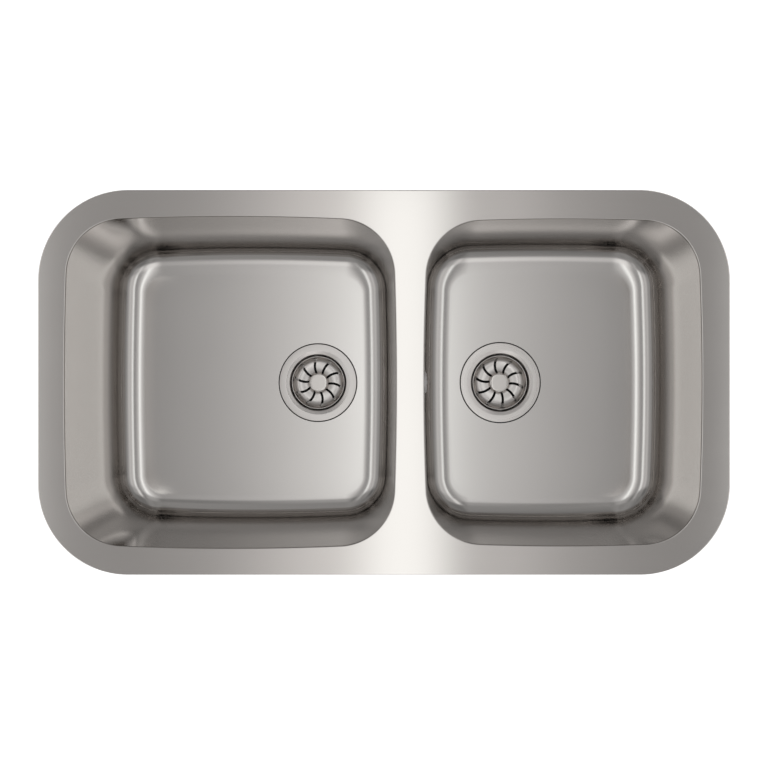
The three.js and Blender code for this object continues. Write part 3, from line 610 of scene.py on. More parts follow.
@dataclass(frozen=True)
class Rim:
    """The flat rim with its two openings, each with an edge that rolls down into its bowl."""

    west: float = -454.5
    east: float = 390.5
    depth: float = 470.0
    corner: float = 110.0
    sheet: float = 1.2
    edge: float = 0.45
    roll: float = 1.4
    lip: float = 2.1
    divider_rows: int = 121
    other_rows: int = 460
    side_points: int = 400
    margin: float = 0.02

    def boundary(self, inset: float) -> Array:
        """The outer edge drawn in by an inset: four corner arcs that straight sides join."""
        radius = self.corner - inset
        turn = np.linspace(0, QUARTER, 48)
        east, west, back = self.east - self.corner, self.west + self.corner, self.depth / 2 - self.corner
        arms = [(east, back, 0.0), (west, back, QUARTER), (west, -back, math.pi), (east, -back, 1.5 * math.pi)]
        arcs = [
            np.stack([x + radius * np.cos(start + turn), y + radius * np.sin(start + turn)], axis=-1)
            for x, y, start in arms
        ]
        sides = [np.linspace(a[-1], b[0], self.side_points)[1:-1] for a, b in zip(arcs, arcs[1:] + arcs[:1])]
        return np.concatenate([part for pair in zip(arcs, sides) for part in pair])

    def section(self) -> tuple[Array, Array]:
        """The opening's edge as (inset, z): flat, rolled down, straight, back under and out again."""
        bend = np.linspace(0, QUARTER - DRAFT, 10)
        inset = self.roll * (np.sin(bend) - 1)
        height = self.roll * (np.cos(bend) - 1)
        low = -self.lip
        back = -self.sheet * 0.9
        inset = np.concatenate([[inset[0] - 0.5], inset, [-low * math.tan(DRAFT), back, back - 0.4, back - 1.4]])
        height = np.concatenate([[0], height, [low, low, -self.sheet - 0.6, -self.sheet]])
        return inset, height

    def half(self, skin: Skin, opening: Opening, side: float) -> None:
        """Adds the half of the rim round one opening.

        Every ring is found by direction from the middle of the opening. Towards the divider the directions are
        those of even steps along the line X = 0, so that the two halves meet point for point.

        Args:
            skin: where the grids go.
            opening: the half's opening.
            side: +1 where the divider lies towards +X, or -1.
        """
        centre = np.array([opening.middle, 0.0])
        top = self.depth / 2 - self.edge
        line = side * np.linspace(-top, top, self.divider_rows)
        line[[1, -2]] = line[[0, -1]] * (1 - self.edge / top)
        divider = np.unwrap(np.arctan2(line, side * abs(opening.middle)))
        others = np.linspace(divider[-1], divider[0] + FULL_TURN, self.other_rows + 2)[1:-1]
        angle = np.concatenate([divider, others])
        ways = np.stack([np.cos(angle), np.sin(angle)], axis=-1)

        def ring(outline: Array) -> Array:
            """The outline's points in the half's directions."""
            return centre + polar_radius(outline, centre, angle)[:, None] * ways

        outer = ring(self.boundary(self.edge))
        outer[: self.divider_rows] = np.stack([0 * line, line], axis=-1)
        inset, height = self.section()
        rings = np.stack([ring(loop) for loop in opening.loops(inset)])
        first = outer + self.margin * (rings[0] - outer)
        last = outer + self.margin * (rings[-1] - outer)
        loops = np.concatenate([outer[None], first[None], rings, last[None], outer[None]])
        heights = np.concatenate([[0, 0], height, [-self.sheet, -self.sheet]])
        skin.add(lifted(loops, heights), wrap=True)

        turn = np.linspace(0, QUARTER, 5)
        drop = self.edge * (1 - np.sin(turn))
        edge_height = self.edge * (1 - np.cos(turn))
        edge_rings = []
        for amount in np.concatenate([drop, drop[::-1]]):
            away = polar_radius(self.boundary(amount), centre, others)[:, None]
            end = np.array([[0.0, side * (self.depth / 2 - amount)]])
            edge_rings.append(np.concatenate([end, centre + away * ways[self.divider_rows :], -end]))
        skin.add(lifted(np.stack(edge_rings), np.concatenate([-edge_height, edge_height[::-1] - self.sheet])))

    def build(self, finish: Material) -> None:
        """Makes the rim."""
        skin = Skin()
        self.half(skin, LEFT_OPENING, 1.0)
        self.half(skin, RIGHT_OPENING, -1.0)
        add_piece("deck_plate", skin, finish, sharp=50.0)


@dataclass(frozen=True)
class Overflow:
    """The overflow on the divider wall of the narrow bowl, from its rosette to the waste."""

    wall_x: float = 17.5
    height: float = -48.0
    dimple: float = 20.0
    dimple_depth: float = 3.5
    hole: float = 10.0
    patch: float = 25.0
    rosette: float = 14.0
    rise: float = 2.6
    chamber: float = 16.0
    chamber_length: float = 24.0
    chamber_wall: float = 2.0
    face: float = -6.6
    pipe_x: float = 2.5
    pipe: float = 10.0
    pipe_wall: float = 1.6
    bend: float = 30.0
    spigot: float = 12.0
    spigot_end: float = -86.0
    port_height: float = -191.0
    port_end: float = 55.5
    insertion: float = 12.0

    def place(self) -> Placement:
        """The rosette's place, with Z square to the wall and into the bowl."""
        x = self.wall_x - self.height * math.tan(DRAFT)
        normal = (math.cos(DRAFT), 0.0, math.sin(DRAFT))
        down = (math.sin(DRAFT), 0.0, -math.cos(DRAFT))
        return Placement((x, 0.0, self.height), down, normal)

    def port(self) -> Placement:
        """The place of the waste's overflow port, with Z along the pipe and into the port."""
        return Placement((self.port_end, 0.0, self.port_height), (0.0, 0.0, -1.0), (1.0, 0.0, 0.0))

    def patch_rows(self, boundary: Array) -> Array:
        """Rings from the edge of a patch cut from the wall to the round dimple and down to its hole.

        A point of the edge keeps its direction from the middle. Its distance and height over the wall go first
        to the dimple's circle and then down a profile that is rolled at the top and at the foot.

        Args:
            boundary: the patch's edge, in order [n, 3].

        Returns:
            Points [rows, n, 3].
        """
        place = self.place()
        local = place.local(boundary)
        angle = np.arctan2(local[:, 1], local[:, 0])
        foot, depth = self.dimple - 2.2, -self.dimple_depth
        corners = [(self.dimple + 1.6, 0, 0), (self.dimple, 0, 1.6), (foot, depth, 1.6), (self.hole, depth, 0)]
        profile = rounded(corners, closed=False, steps=6)
        ways = np.stack([np.cos(angle), np.sin(angle)], axis=-1)
        inner = lifted(profile[:, 0][:, None, None] * ways[None], profile[:, 1])
        share = np.linspace(0, 1, 4)[:-1][:, None, None]
        outer = local[None] * (1 - share) + inner[:1] * share
        return place.put(np.concatenate([outer, inner]))

    def build(self, paint: Paint) -> None:
        """Makes the overflow's pieces, with their materials by name."""
        place = self.place()
        self.build_rosette(place, paint)
        self.build_elbow(place, paint)
        self.build_pipe(paint)
        self.build_joint("upper", Placement((self.pipe_x, 0.0, self.spigot_end)), paint)
        self.build_joint("lower", self.port(), paint)

    def build_rosette(self, place: Placement, paint: Paint) -> None:
        """Makes the domed cover, its screw and the seal behind the wall."""
        edge, rise = self.rosette, self.rise
        outline = [
            (edge, -0.8, 0), (edge - 0.1, 0.6, 0.7), (edge - 3.0, rise - 0.5, 2.5),
            (5.2, rise, 0.6), (4.5, rise - 1.4, 0.4), (2.4, rise - 1.4, 0),
        ]
        cover = turned(rounded(outline, closed=False, steps=6), 96)
        skin = Skin().add(place.put(cover), wrap=True)
        add_piece("overflow_rosette", skin, paint["chrome"], sheet=0.8, facing=place.z_axis)
        head, tip = rise - 1.1, self.face - 12
        screw = [
            (0, tip, 0), (2, tip, 0.4), (2, head, 0), (4, head, 0.1), (4, head + 0.7, 0.4),
            (2.4, head + 1.5, 1.5), (1.2, head + 1.6, 0.1), (1.1, head + 0.8, 0.1), (0, head + 0.8, 0),
        ]
        add_piece("overflow_screw", closed_turning(screw, place, 48), paint["chrome"])
        back, front = -self.dimple_depth - 1.3, self.face + 0.3
        seal = [(11, front, 0.3), (17, front, 0.3), (17, back, 0.3), (11, back, 0.3)]
        add_piece("overflow_gasket", closed_turning(seal, place), paint["rubber"])

    def build_elbow(self, place: Placement, paint: Paint) -> None:
        """Makes the elbow behind the wall: a chamber, a boss for the screw and a threaded spigot."""
        face, edge, wall = self.face, self.chamber, self.chamber_wall
        back = face - self.chamber_length
        chamber = [
            (0, back, 0), (edge, back, 5.0), (edge, face - wall, 0.6), (edge + 1.5, face - wall, 0.5),
            (edge + 1.5, face, 0.4), (edge - wall, face, 0.4), (edge - wall, back + wall, 3.0),
            (4, back + wall, 0.5), (4, 0.1, 0.4), (2.3, 0.1, 0.3), (2.3, back + 2 * wall, 0),
            (0, back + 2 * wall, 0),
        ]
        skin = closed_turning(chamber, place)
        bore, top, end = self.pipe + 0.3, self.height - 9, self.spigot_end
        spigot = [(bore, end, 0.4), (self.spigot, end, 0.5), (self.spigot, top, 0), (bore, top, 0)]
        ripple = thread(3.0, 0.6, end + 1, end + 15, self.pipe + 1.5)
        tube = closed_turning(spigot, Placement((self.pipe_x, 0.0, 0.0)), 96, ripple, rows_between=0.5)
        skin.add(tube.points[0].reshape(-1, 96, 3), wrap=True, loop=True)
        add_piece("overflow_elbow", skin, paint["moulded_plastic"])

    def build_pipe(self, paint: Paint) -> None:
        """Makes the pipe: a ring carried down, round a quarter bend and across, outside and inside."""
        turn = np.linspace(math.pi, 1.5 * math.pi, 25)
        bend_x = self.pipe_x + self.bend + self.bend * np.cos(turn)
        bend_z = self.port_height + self.bend + self.bend * np.sin(turn)
        top = self.spigot_end + self.insertion
        far = self.port_end + self.insertion
        x = np.concatenate([[self.pipe_x, self.pipe_x], bend_x, [far - 0.5, far]])
        z = np.concatenate([[top, top - 0.5], bend_z, [self.port_height, self.port_height]])
        lean = np.concatenate([[math.pi, math.pi], turn, [1.5 * math.pi, 1.5 * math.pi]])[:, None]
        angle = np.linspace(0, FULL_TURN, 64, endpoint=False)[None, :]

        def tube(radius: Array) -> Array:
            """The ring of a radius at each station of the pipe's line."""
            out = radius[:, None] * np.cos(angle)
            across = radius[:, None] * np.sin(angle)
            return np.stack([x[:, None] + out * np.cos(lean), across, z[:, None] + out * np.sin(lean)], axis=-1)

        outside = np.full(len(x), self.pipe)
        outside[[0, -1]] -= 0.4
        inside = np.full(len(x), self.pipe - self.pipe_wall)
        both = np.concatenate([tube(outside), tube(inside)[::-1]])
        skin = Skin().add(both, wrap=True, loop=True)
        add_piece("overflow_pipe", skin, paint["moulded_plastic"], sharp=50.0)

    def build_joint(self, which: str, place: Placement, paint: Paint) -> None:
        """Makes a pipe nut with grips, and the rubber ring in it.

        The grips are a wave of twelve crests round the nut that fades out towards its ends.
        """
        bore, spigot, outer, foot, top = self.pipe + 0.3, self.spigot + 0.3, 15.6, -6.6, 14
        nut = [
            (bore, foot, 0.3), (outer, foot, 1.4), (outer, top, 0.8), (spigot, top, 0.4),
            (spigot, -3.6, 0.2), (bore, -3.6, 0.3),
        ]

        def grips(angle: Array, height: Array, radius: Array) -> Array:
            """The change of radius: 0.7 cos 12 a in the middle, less towards the ends."""
            fade = np.clip(np.minimum(height + 6.2, 13.4 - height) / 2, 0, 1)
            return 0.7 * np.cos(12 * angle) * fade * (radius > 14)

        skin = closed_turning(nut, place, 144, grips, rows_between=1.0)
        add_piece(f"overflow_{which}_nut", skin, paint["moulded_plastic"])
        washer = [(bore, -3.3, 0.4), (self.spigot, -3.3, 0.4), (self.spigot, -0.3, 0.6), (bore, -0.3, 0.4)]
        add_piece(f"overflow_{which}_washer", closed_turning(washer, place), paint["rubber"])


@dataclass(frozen=True)
class Bowl:
    """A drawn bowl: lip, tapered wall, deep fillet, flat floor and the seat pressed for its waste."""

    side: str
    opening: Opening
    depth: float
    drain: float
    wall_rows: int
    overflow: Overflow | None = None
    fillet_run: float = 33.0
    fillet_rise: float = 22.0
    fillet_power: float = 2.1
    fillet_rows: int = 40
    floor_rows: int = 12
    outer_ease: float = 0.0
    floor_shift: float = -4.0
    sheet: float = 1.0
    seat: float = 57.2
    seat_depth: float = 2.2
    seat_edge: float = 0.35
    seat_hole: float = 45.5
    pad_margin: float = 8.0
    pad_hole: float = 63.0
    pad_gap: float = 0.3
    pad_thickness: float = 3.0
    pad_bevel: float = 0.6

    def floor_inset(self) -> float:
        """How far the floor's edge lies inside the opening's outline."""
        return self.depth * math.tan(DRAFT) + self.fillet_run

    def section(self) -> tuple[Array, Array]:
        """Lip, wall and fillet as (inset, z), from the lip inwards.

        The fillet is a superellipse between the wall and the floor. With k = 2 / power, it reaches
        run (1 - cos^k a) inwards along the floor and rise (1 - sin^k a) up along the wall.
        """
        lip_inset = [-6.0, -2.2, -1.3, -1.15, -1.15]
        lip_height = [-1.5, -1.5, -1.5, -1.6, -2.0]
        turn = np.linspace(0, QUARTER, self.fillet_rows + 1)
        power = 2 / self.fillet_power
        fillet_height = self.fillet_rise * (1 - np.sin(turn) ** power) - self.depth
        across = self.fillet_run * (1 - np.abs(np.cos(turn)) ** power)
        fillet_inset = across - fillet_height * math.tan(DRAFT)
        wall_height = np.linspace(-2.13, fillet_height[0], self.wall_rows, endpoint=False)
        inset = np.concatenate([lip_inset, -wall_height * math.tan(DRAFT), fillet_inset])
        return inset, np.concatenate([lip_height, wall_height, fillet_height])

    def grid(self) -> Array:
        """The bowl's inner face from the lip to the edge of the waste hole.

        The opening's outline is drawn in along the section. Its outer side stands a little steeper: x grows by
        the outer ease, in step with the depth and the distance from the middle. The fillet at the back is a
        little longer than the one at the front: y grows by the floor shift towards the floor's edge. On the
        floor each point moves straight towards the point of the seat's circle in its direction from the drain.

        Returns:
            Points [rows, n, 3].
        """
        inset, height = self.section()
        loops = self.opening.loops(inset)
        down = np.clip(-height / self.depth, 0, 1)[:, None]
        across = (loops[..., 0] - self.opening.middle) / (self.opening.width / 2)
        loops[..., 0] += self.outer_ease * down * np.clip(across, 0, 1)
        share = 1 - (self.floor_inset() - inset) / self.fillet_run
        loops[..., 1] += self.floor_shift * np.clip(share, 0, 1)[:, None]
        wall = lifted(loops, height)
        edge = wall[-1, :, :2]
        drain = np.array([self.drain, 0.0])
        arm = edge - drain
        ways = arm / np.linalg.norm(arm, axis=1)[:, None]
        corner, low = self.seat_edge, -self.seat_depth
        corners = [(self.seat + corner, 0, 0), (self.seat, 0, corner), (self.seat, low, 0.5), (self.seat_hole, low, 0)]
        seat = rounded(corners, closed=False, steps=5)
        circle = drain + seat[0, 0] * ways
        share = np.linspace(0, 1, self.floor_rows)[1:-1][:, None, None]
        floor = edge[None] * (1 - share) + circle[None] * share
        floor = lifted(floor, np.full(len(floor), -self.depth))
        rings = drain + seat[:, 0][:, None, None] * ways[None]
        return np.concatenate([wall, floor, lifted(rings, seat[:, 1] - self.depth)])

    def shell(self) -> Skin:
        """The bowl's face as a skin, with the overflow's dimple let into it where there is one."""
        grid = self.grid()
        if self.overflow is None:
            return Skin().add(grid, wrap=True)
        reach = self.overflow.patch
        grid = np.roll(grid, grid.shape[1] // 4, axis=1)
        middle = grid.shape[1] // 4 + grid.shape[1] // 2
        near = np.abs(grid[:, :, 2] - self.overflow.height) < reach
        near &= (np.abs(grid[:, :, 1]) < reach) & (grid[:, :, 0] < self.opening.middle)
        rows = np.flatnonzero(near[:, middle])
        columns = np.flatnonzero(near[rows[0]])
        top, foot, first, last = rows[0], rows[-1], columns[0], columns[-1]
        keep = np.ones(grid.shape[:2], dtype=bool)[:-1]
        keep[top:foot, first:last] = False
        sides = [grid[top, first:last], grid[top:foot, last], grid[foot, last:first:-1], grid[foot:top:-1, first]]
        skin = Skin().add(grid, wrap=True, keep=keep)
        return skin.add(self.overflow.patch_rows(np.concatenate(sides)), wrap=True)

    def pad(self) -> Skin:
        """The damping pad: a flat ring between the drawn-in outline and a round hole, with bevelled edges."""
        outline = self.opening.loops(np.array([self.floor_inset() + self.pad_margin]))[0]
        drain = np.array([self.drain, 0.0])
        arm = outline - drain
        rim = np.linalg.norm(arm, axis=1)
        ways = arm / rim[:, None]
        inside = np.minimum(rim - 2 * self.pad_bevel, self.pad_hole)
        top = -self.depth - self.sheet - self.pad_gap
        foot = top - self.pad_thickness
        bevel = self.pad_bevel
        radii = [inside, rim - bevel, rim, rim, rim - bevel, inside]
        levels = [top, top, top - bevel, foot + bevel, foot, foot]
        rings = np.stack([drain + radius[:, None] * ways for radius in radii])
        return Skin().add(lifted(rings, np.array(levels)), wrap=True, loop=True)

    def build(self, paint: Paint) -> None:
        """Makes the bowl and its pad."""
        up = (0.0, 0.0, 1.0)
        add_piece(f"{self.side}_bowl", self.shell(), paint["bowl_steel"], sheet=self.sheet, facing=up, sharp=50.0)
        add_piece(f"{self.side}_sound_pad", self.pad(), paint["pad_rubber"])


# ---- Strainer wastes ----


@dataclass(frozen=True)
class Strainer:
    """A strainer waste in the floor of a bowl. Heights are measured from the floor."""

    side: str
    drain: float
    floor: float
    flange: float = 55.9
    dish: float = 46.4
    dish_depth: float = 1.3
    mouth: float = 41.0
    cup_base: float = 38.9
    cup_floor: float = -38.0
    basket: float = 38.5
    basket_top: float = -5.0
    trough: float = -15.0
    boss: float = 13.5
    boss_height: float = -10.3
    cap: float = 12.0
    cap_squareness: float = 2.8
    port: Overflow | None = None

    def centre(self) -> Triple:
        """The middle of the drain at the floor's height."""
        return (self.drain, 0.0, self.floor)

    def place(self) -> Placement:
        """The waste's place, upright over the drain."""
        return Placement(self.centre())

    def turn_piece(
        self, node: str, corners: Sequence[Triple], finish: Material, segments: int, body: str = "sink"
    ) -> None:
        """Makes a piece that is turned round the waste's axis.

        Args:
            node: the piece's node without its side.
            corners: (r, z, radius) of the closed outline's corners.
            finish: its material.
            segments: columns round the axis.
            body: the body that it rides on.
        """
        add_piece(f"{self.side}_{node}", closed_turning(corners, self.place(), segments), finish, body)

    def build(self, paint: Paint) -> None:
        """Makes all pieces of the waste, with their materials by name."""
        flange_finish = Metal(BRIGHT_COLOUR, 0.29, Grain.RINGS, self.centre(), bump=0.03)
        basket_finish = Metal((0.74, 0.705, 0.68), 0.30, Grain.RINGS, self.centre(), bump=0.02)
        cap_finish = Metal(STEEL_COLOUR, 0.24, Grain.ALONG, bump=0.02)
        self.build_cup(flange_finish.material(f"{self.side}_flange_steel"))
        self.build_seals(paint["rubber"])
        self.build_body(paint["moulded_plastic"])
        self.build_screw(paint["turned_steel"], paint["brass"])
        self.build_stem(paint["turned_steel"])
        self.build_stopper(paint["rubber"])
        self.build_basket(basket_finish.material(f"{self.side}_basket_steel"))
        self.build_cap(cap_finish.material(f"{self.side}_cap_steel"))

    def build_cup(self, finish: Material) -> None:
        """Makes the cup: flush flange, rounded mouth, tapered wall, sealing bead and eight round holes."""
        slots = Slots(8, 13.5, 22.5, 9.0)
        base = self.cup_floor
        outline = [
            (self.flange, -0.9, 0), (self.flange, 0, 0.5), (self.dish, 0, 1.2), (self.mouth, -self.dish_depth, 1.0),
            (self.cup_base, base, 4.0), (30.6, base, 0.5), (29.2, base + 1.5, 0.6), (27.8, base + 1.5, 0.6),
            (26.4, base, 0.5), (25.0, base, 0),
        ]
        outer = rounded(outline, closed=False, steps=8)
        radii = np.sort(np.concatenate([slots.radii(8), np.linspace(14, 22, 9), [24, 12, 8, 3.35]]))[::-1]
        flat = np.stack([radii, np.full(len(radii), base)], axis=-1)
        skin = Skin()
        for grid in slots.lands(np.concatenate([outer, flat]), 14):
            skin.add(self.place().put(grid))
        add_piece(f"{self.side}_waste_flange", skin, finish, sheet=0.8, facing=(0, 0, 1))

    def build_seals(self, rubber: Material) -> None:
        """Makes the rubber rings under the flange and under the bowl's floor."""
        seal = [(48, -1.9, 0.3), (56.9, -1.9, 0.3), (56.9, -1.1, 0.3), (48, -1.1, 0.3)]
        gasket = [(48, -5.5, 0.6), (56.5, -5.5, 0.6), (56.5, -3.5, 0.6), (48, -3.5, 0.6)]
        self.turn_piece("flange_seal", seal, rubber, 128)
        self.turn_piece("body_gasket", gasket, rubber, 128)

    def build_body(self, plastic: Material) -> None:
        """Makes the moulded body: rim, cylinder, cone and threaded outlet, with a hub on crossed ribs."""
        corners = [
            (48.5, -5.8, 0.5), (57.0, -5.8, 0.8), (57.0, -9.8, 0.8), (51.0, -9.8, 1.5), (51.0, -46.0, 5.0),
            (23.9, -58.0, 4.0), (23.9, -95.0, 0.8), (20.0, -95.0, 0.8), (20.0, -56.0, 3.0), (48.5, -45.0, 3.0),
        ]
        place = self.place()
        skin = closed_turning(corners, place, 120, thread(3.1, 0.8, -94.0, -68.0, 22.0), rows_between=0.6)
        hub = rounded([(5.8, -62, 0.3), (8.5, -62, 0.6), (8.5, -45, 0.6), (5.8, -45, 0.3)])
        skin.add(place.put(turned(hub, 64)), wrap=True, loop=True)
        for turn in range(4):
            skin.add(self.rib(turn * QUARTER), wrap=True)
        if self.port is not None:
            corners = [(10.3, 0, 0.4), (12, 0, 0.5), (12, 32, 0), (10.3, 32, 0)]
            tube = turned(refined(rounded(corners), 0.5), 96, thread(3.0, 0.6, 1.0, 15.0, 11.0))
            skin.add(self.port.port().put(tube), wrap=True, loop=True)
        add_piece(f"{self.side}_waste_body", skin, plastic)

    def rib(self, angle: float) -> Array:
        """A rib from the hub to the outlet's wall: a rounded oblong carried outwards.

        Args:
            angle: the rib's direction.

        Returns:
            Points [rows, n, 3], closed at both ends.
        """
        low, middle, high, half = -62, -57, -52, 1.5
        oblong = rounded([(-half, low, 0.5), (half, low, 0.5), (half, high, 0.5), (-half, high, 0.5)], steps=3)
        scale = np.array([0.0, 1.0, 1.0, 0.0])[:, None]
        across = oblong[None, :, 0] * scale
        height = middle + (oblong[None, :, 1] - middle) * scale
        along = np.array([7.5, 7.5, 20.6, 20.6])[:, None] + 0 * across
        x = along * math.cos(angle) - across * math.sin(angle)
        y = along * math.sin(angle) + across * math.cos(angle)
        return self.place().put(np.stack([x, y, height], axis=-1))

    def build_screw(self, steel: Material, brass: Material) -> None:
        """Makes the hollow-headed screw that pulls the cup onto the body, and its brass insert."""
        screw = [
            (0, -64, 0), (3, -64, 0.6), (3, -37.7, 0.2), (8, -37.7, 0.4), (8, -27.7, 1.2),
            (3.35, -27.7, 0.4), (3.35, -36.05, 0.3), (0, -36.05, 0),
        ]
        top = -44.0
        ripple = thread(1.0, 0.35, -63.5, top, 2.0)

        def on_shank(angle: Array, height: Array, radius: Array) -> Array:
            """The thread of the shank, which leaves the hollow of the head plain."""
            return ripple(angle, height, radius) * (height < top)

        skin = closed_turning(screw, self.place(), 64, on_shank, rows_between=0.2)
        add_piece(f"{self.side}_fixing_screw", skin, steel)
        insert = [(3.35, -61, 0.2), (5.5, -61, 0.3), (5.5, -46, 0.3), (3.35, -46, 0.2)]
        self.turn_piece("screw_insert", insert, brass, 48)

    def build_stem(self, steel: Material) -> None:
        """Makes the stem that hangs from the cap: collar, bead and round tip."""
        stem = [
            (0, -31.7, 0), (3, -31.7, 1.4), (3, -23.4, 0.2), (4, -23.4, 0.3), (4, -22.4, 0.3), (3, -22.4, 0.2),
            (3, -19.3, 0.2), (5.5, -19.3, 0.4), (5.5, -11.4, 0.4), (3, -11.4, 0.2), (3, -10.3, 0), (0, -10.3, 0),
        ]
        self.turn_piece("basket_stem", stem, steel, 48, f"{self.side}_strainer")

    def build_stopper(self, rubber: Material) -> None:
        """Makes the rubber plug: a disc with a soft lip and a hollow dome over the screw's head."""
        plug = [
            (3.35, -22.1, 0.2), (10.5, -22.1, 0.8), (10.5, -32.2, 0.6), (26.0, -32.2, 0.6), (27.0, -31.7, 0.4),
            (30.0, -32.2, 0.6), (31.0, -31.4, 0.7), (31.0, -29.6, 0.7), (29.8, -28.9, 0.5), (27.5, -29.2, 0.5),
            (26.0, -28.4, 0.6), (14.5, -27.2, 1.5), (13.0, -20.8, 1.2), (11.7, -19.6, 0.8), (3.35, -19.6, 0.3),
        ]
        self.turn_piece("stopper", plug, rubber, 96, f"{self.side}_plug")

    def basket_profile(self, slots: Slots) -> Array:
        """The basket's upper face as (r, z), from its rolled lip in to the hole of the stem.

        The trough is half an ellipse: r = middle + half cos a, z = top - rise sin a, with a from 0 to pi and
        a lower top on the inner side. Rows are added at the radii that the slots ask for.
        """
        lip, edge = 0.7, 1.0
        turn = np.linspace(-0.6, math.pi, 12)
        roll_r = self.basket - lip + lip * np.cos(turn)
        roll_z = self.basket_top - lip + lip * np.sin(turn)
        outer_r = self.basket - 2 * lip
        middle, half = (outer_r + self.boss) / 2, (outer_r - self.boss) / 2
        wanted = np.arccos(np.clip((slots.radii() - middle) / half, -1, 1))
        bend = np.unique(np.round(np.concatenate([np.linspace(0, math.pi, 41)[1:-1], wanted]), 5))
        top = np.where(bend < QUARTER, roll_z[-1], self.boss_height - edge)
        trough_r = middle + half * np.cos(bend)
        trough_z = top - (top - self.trough) * np.sin(bend)
        turn = np.linspace(0, QUARTER, 6)
        edge_r = self.boss - edge + edge * np.cos(turn)
        edge_z = self.boss_height - edge + edge * np.sin(turn)
        radius = np.concatenate([roll_r, trough_r, edge_r, [8.0, 3.35]])
        return np.stack([radius, np.concatenate([roll_z, trough_z, edge_z, [self.boss_height] * 2])], axis=-1)

    def build_basket(self, finish: Material) -> None:
        """Makes the pressed basket with ten bent slots across its trough."""
        slots = Slots(10, 13.9, 35.4, 3.4, 23.0, 30.16, math.radians(-53.07))
        skin = Skin()
        for grid in slots.lands(self.basket_profile(slots), 16):
            skin.add(self.place().put(grid))
        add_piece(f"{self.side}_basket", skin, finish, f"{self.side}_strainer", sheet=0.8, facing=(0, 0, 1))

    def build_cap(self, finish: Material) -> None:
        """Makes the cap: (|x|^n + |y|^n)^(1/n) = s, carried up its side, round its edge and over its top."""
        cap, foot, top = self.cap, -10.0, -8.0
        corners = [
            (0, foot, 0), (cap - 0.6, foot, 0.2), (cap, foot + 0.5, 0.3), (cap, top, 0.7), (cap - 3, top, 0.5),
            (0, top, 0),
        ]
        profile = rounded(corners, steps=6)
        angle = np.linspace(0, FULL_TURN, 120, endpoint=False)[None, :]
        power = self.cap_squareness
        size = (np.abs(np.cos(angle)) ** power + np.abs(np.sin(angle)) ** power) ** (-1 / power)
        radius = profile[:, :1] * size
        grid = np.stack([radius * np.cos(angle), radius * np.sin(angle), profile[:, 1:] + 0 * angle], axis=-1)
        skin = Skin().add(self.place().put(grid), wrap=True, loop=True)
        add_piece(f"{self.side}_basket_cap", skin, finish, f"{self.side}_strainer")


# ---- Studio ----


WHITE = (1.0, 1.0, 1.0)
Panel = tuple[tuple[float, float], ...]


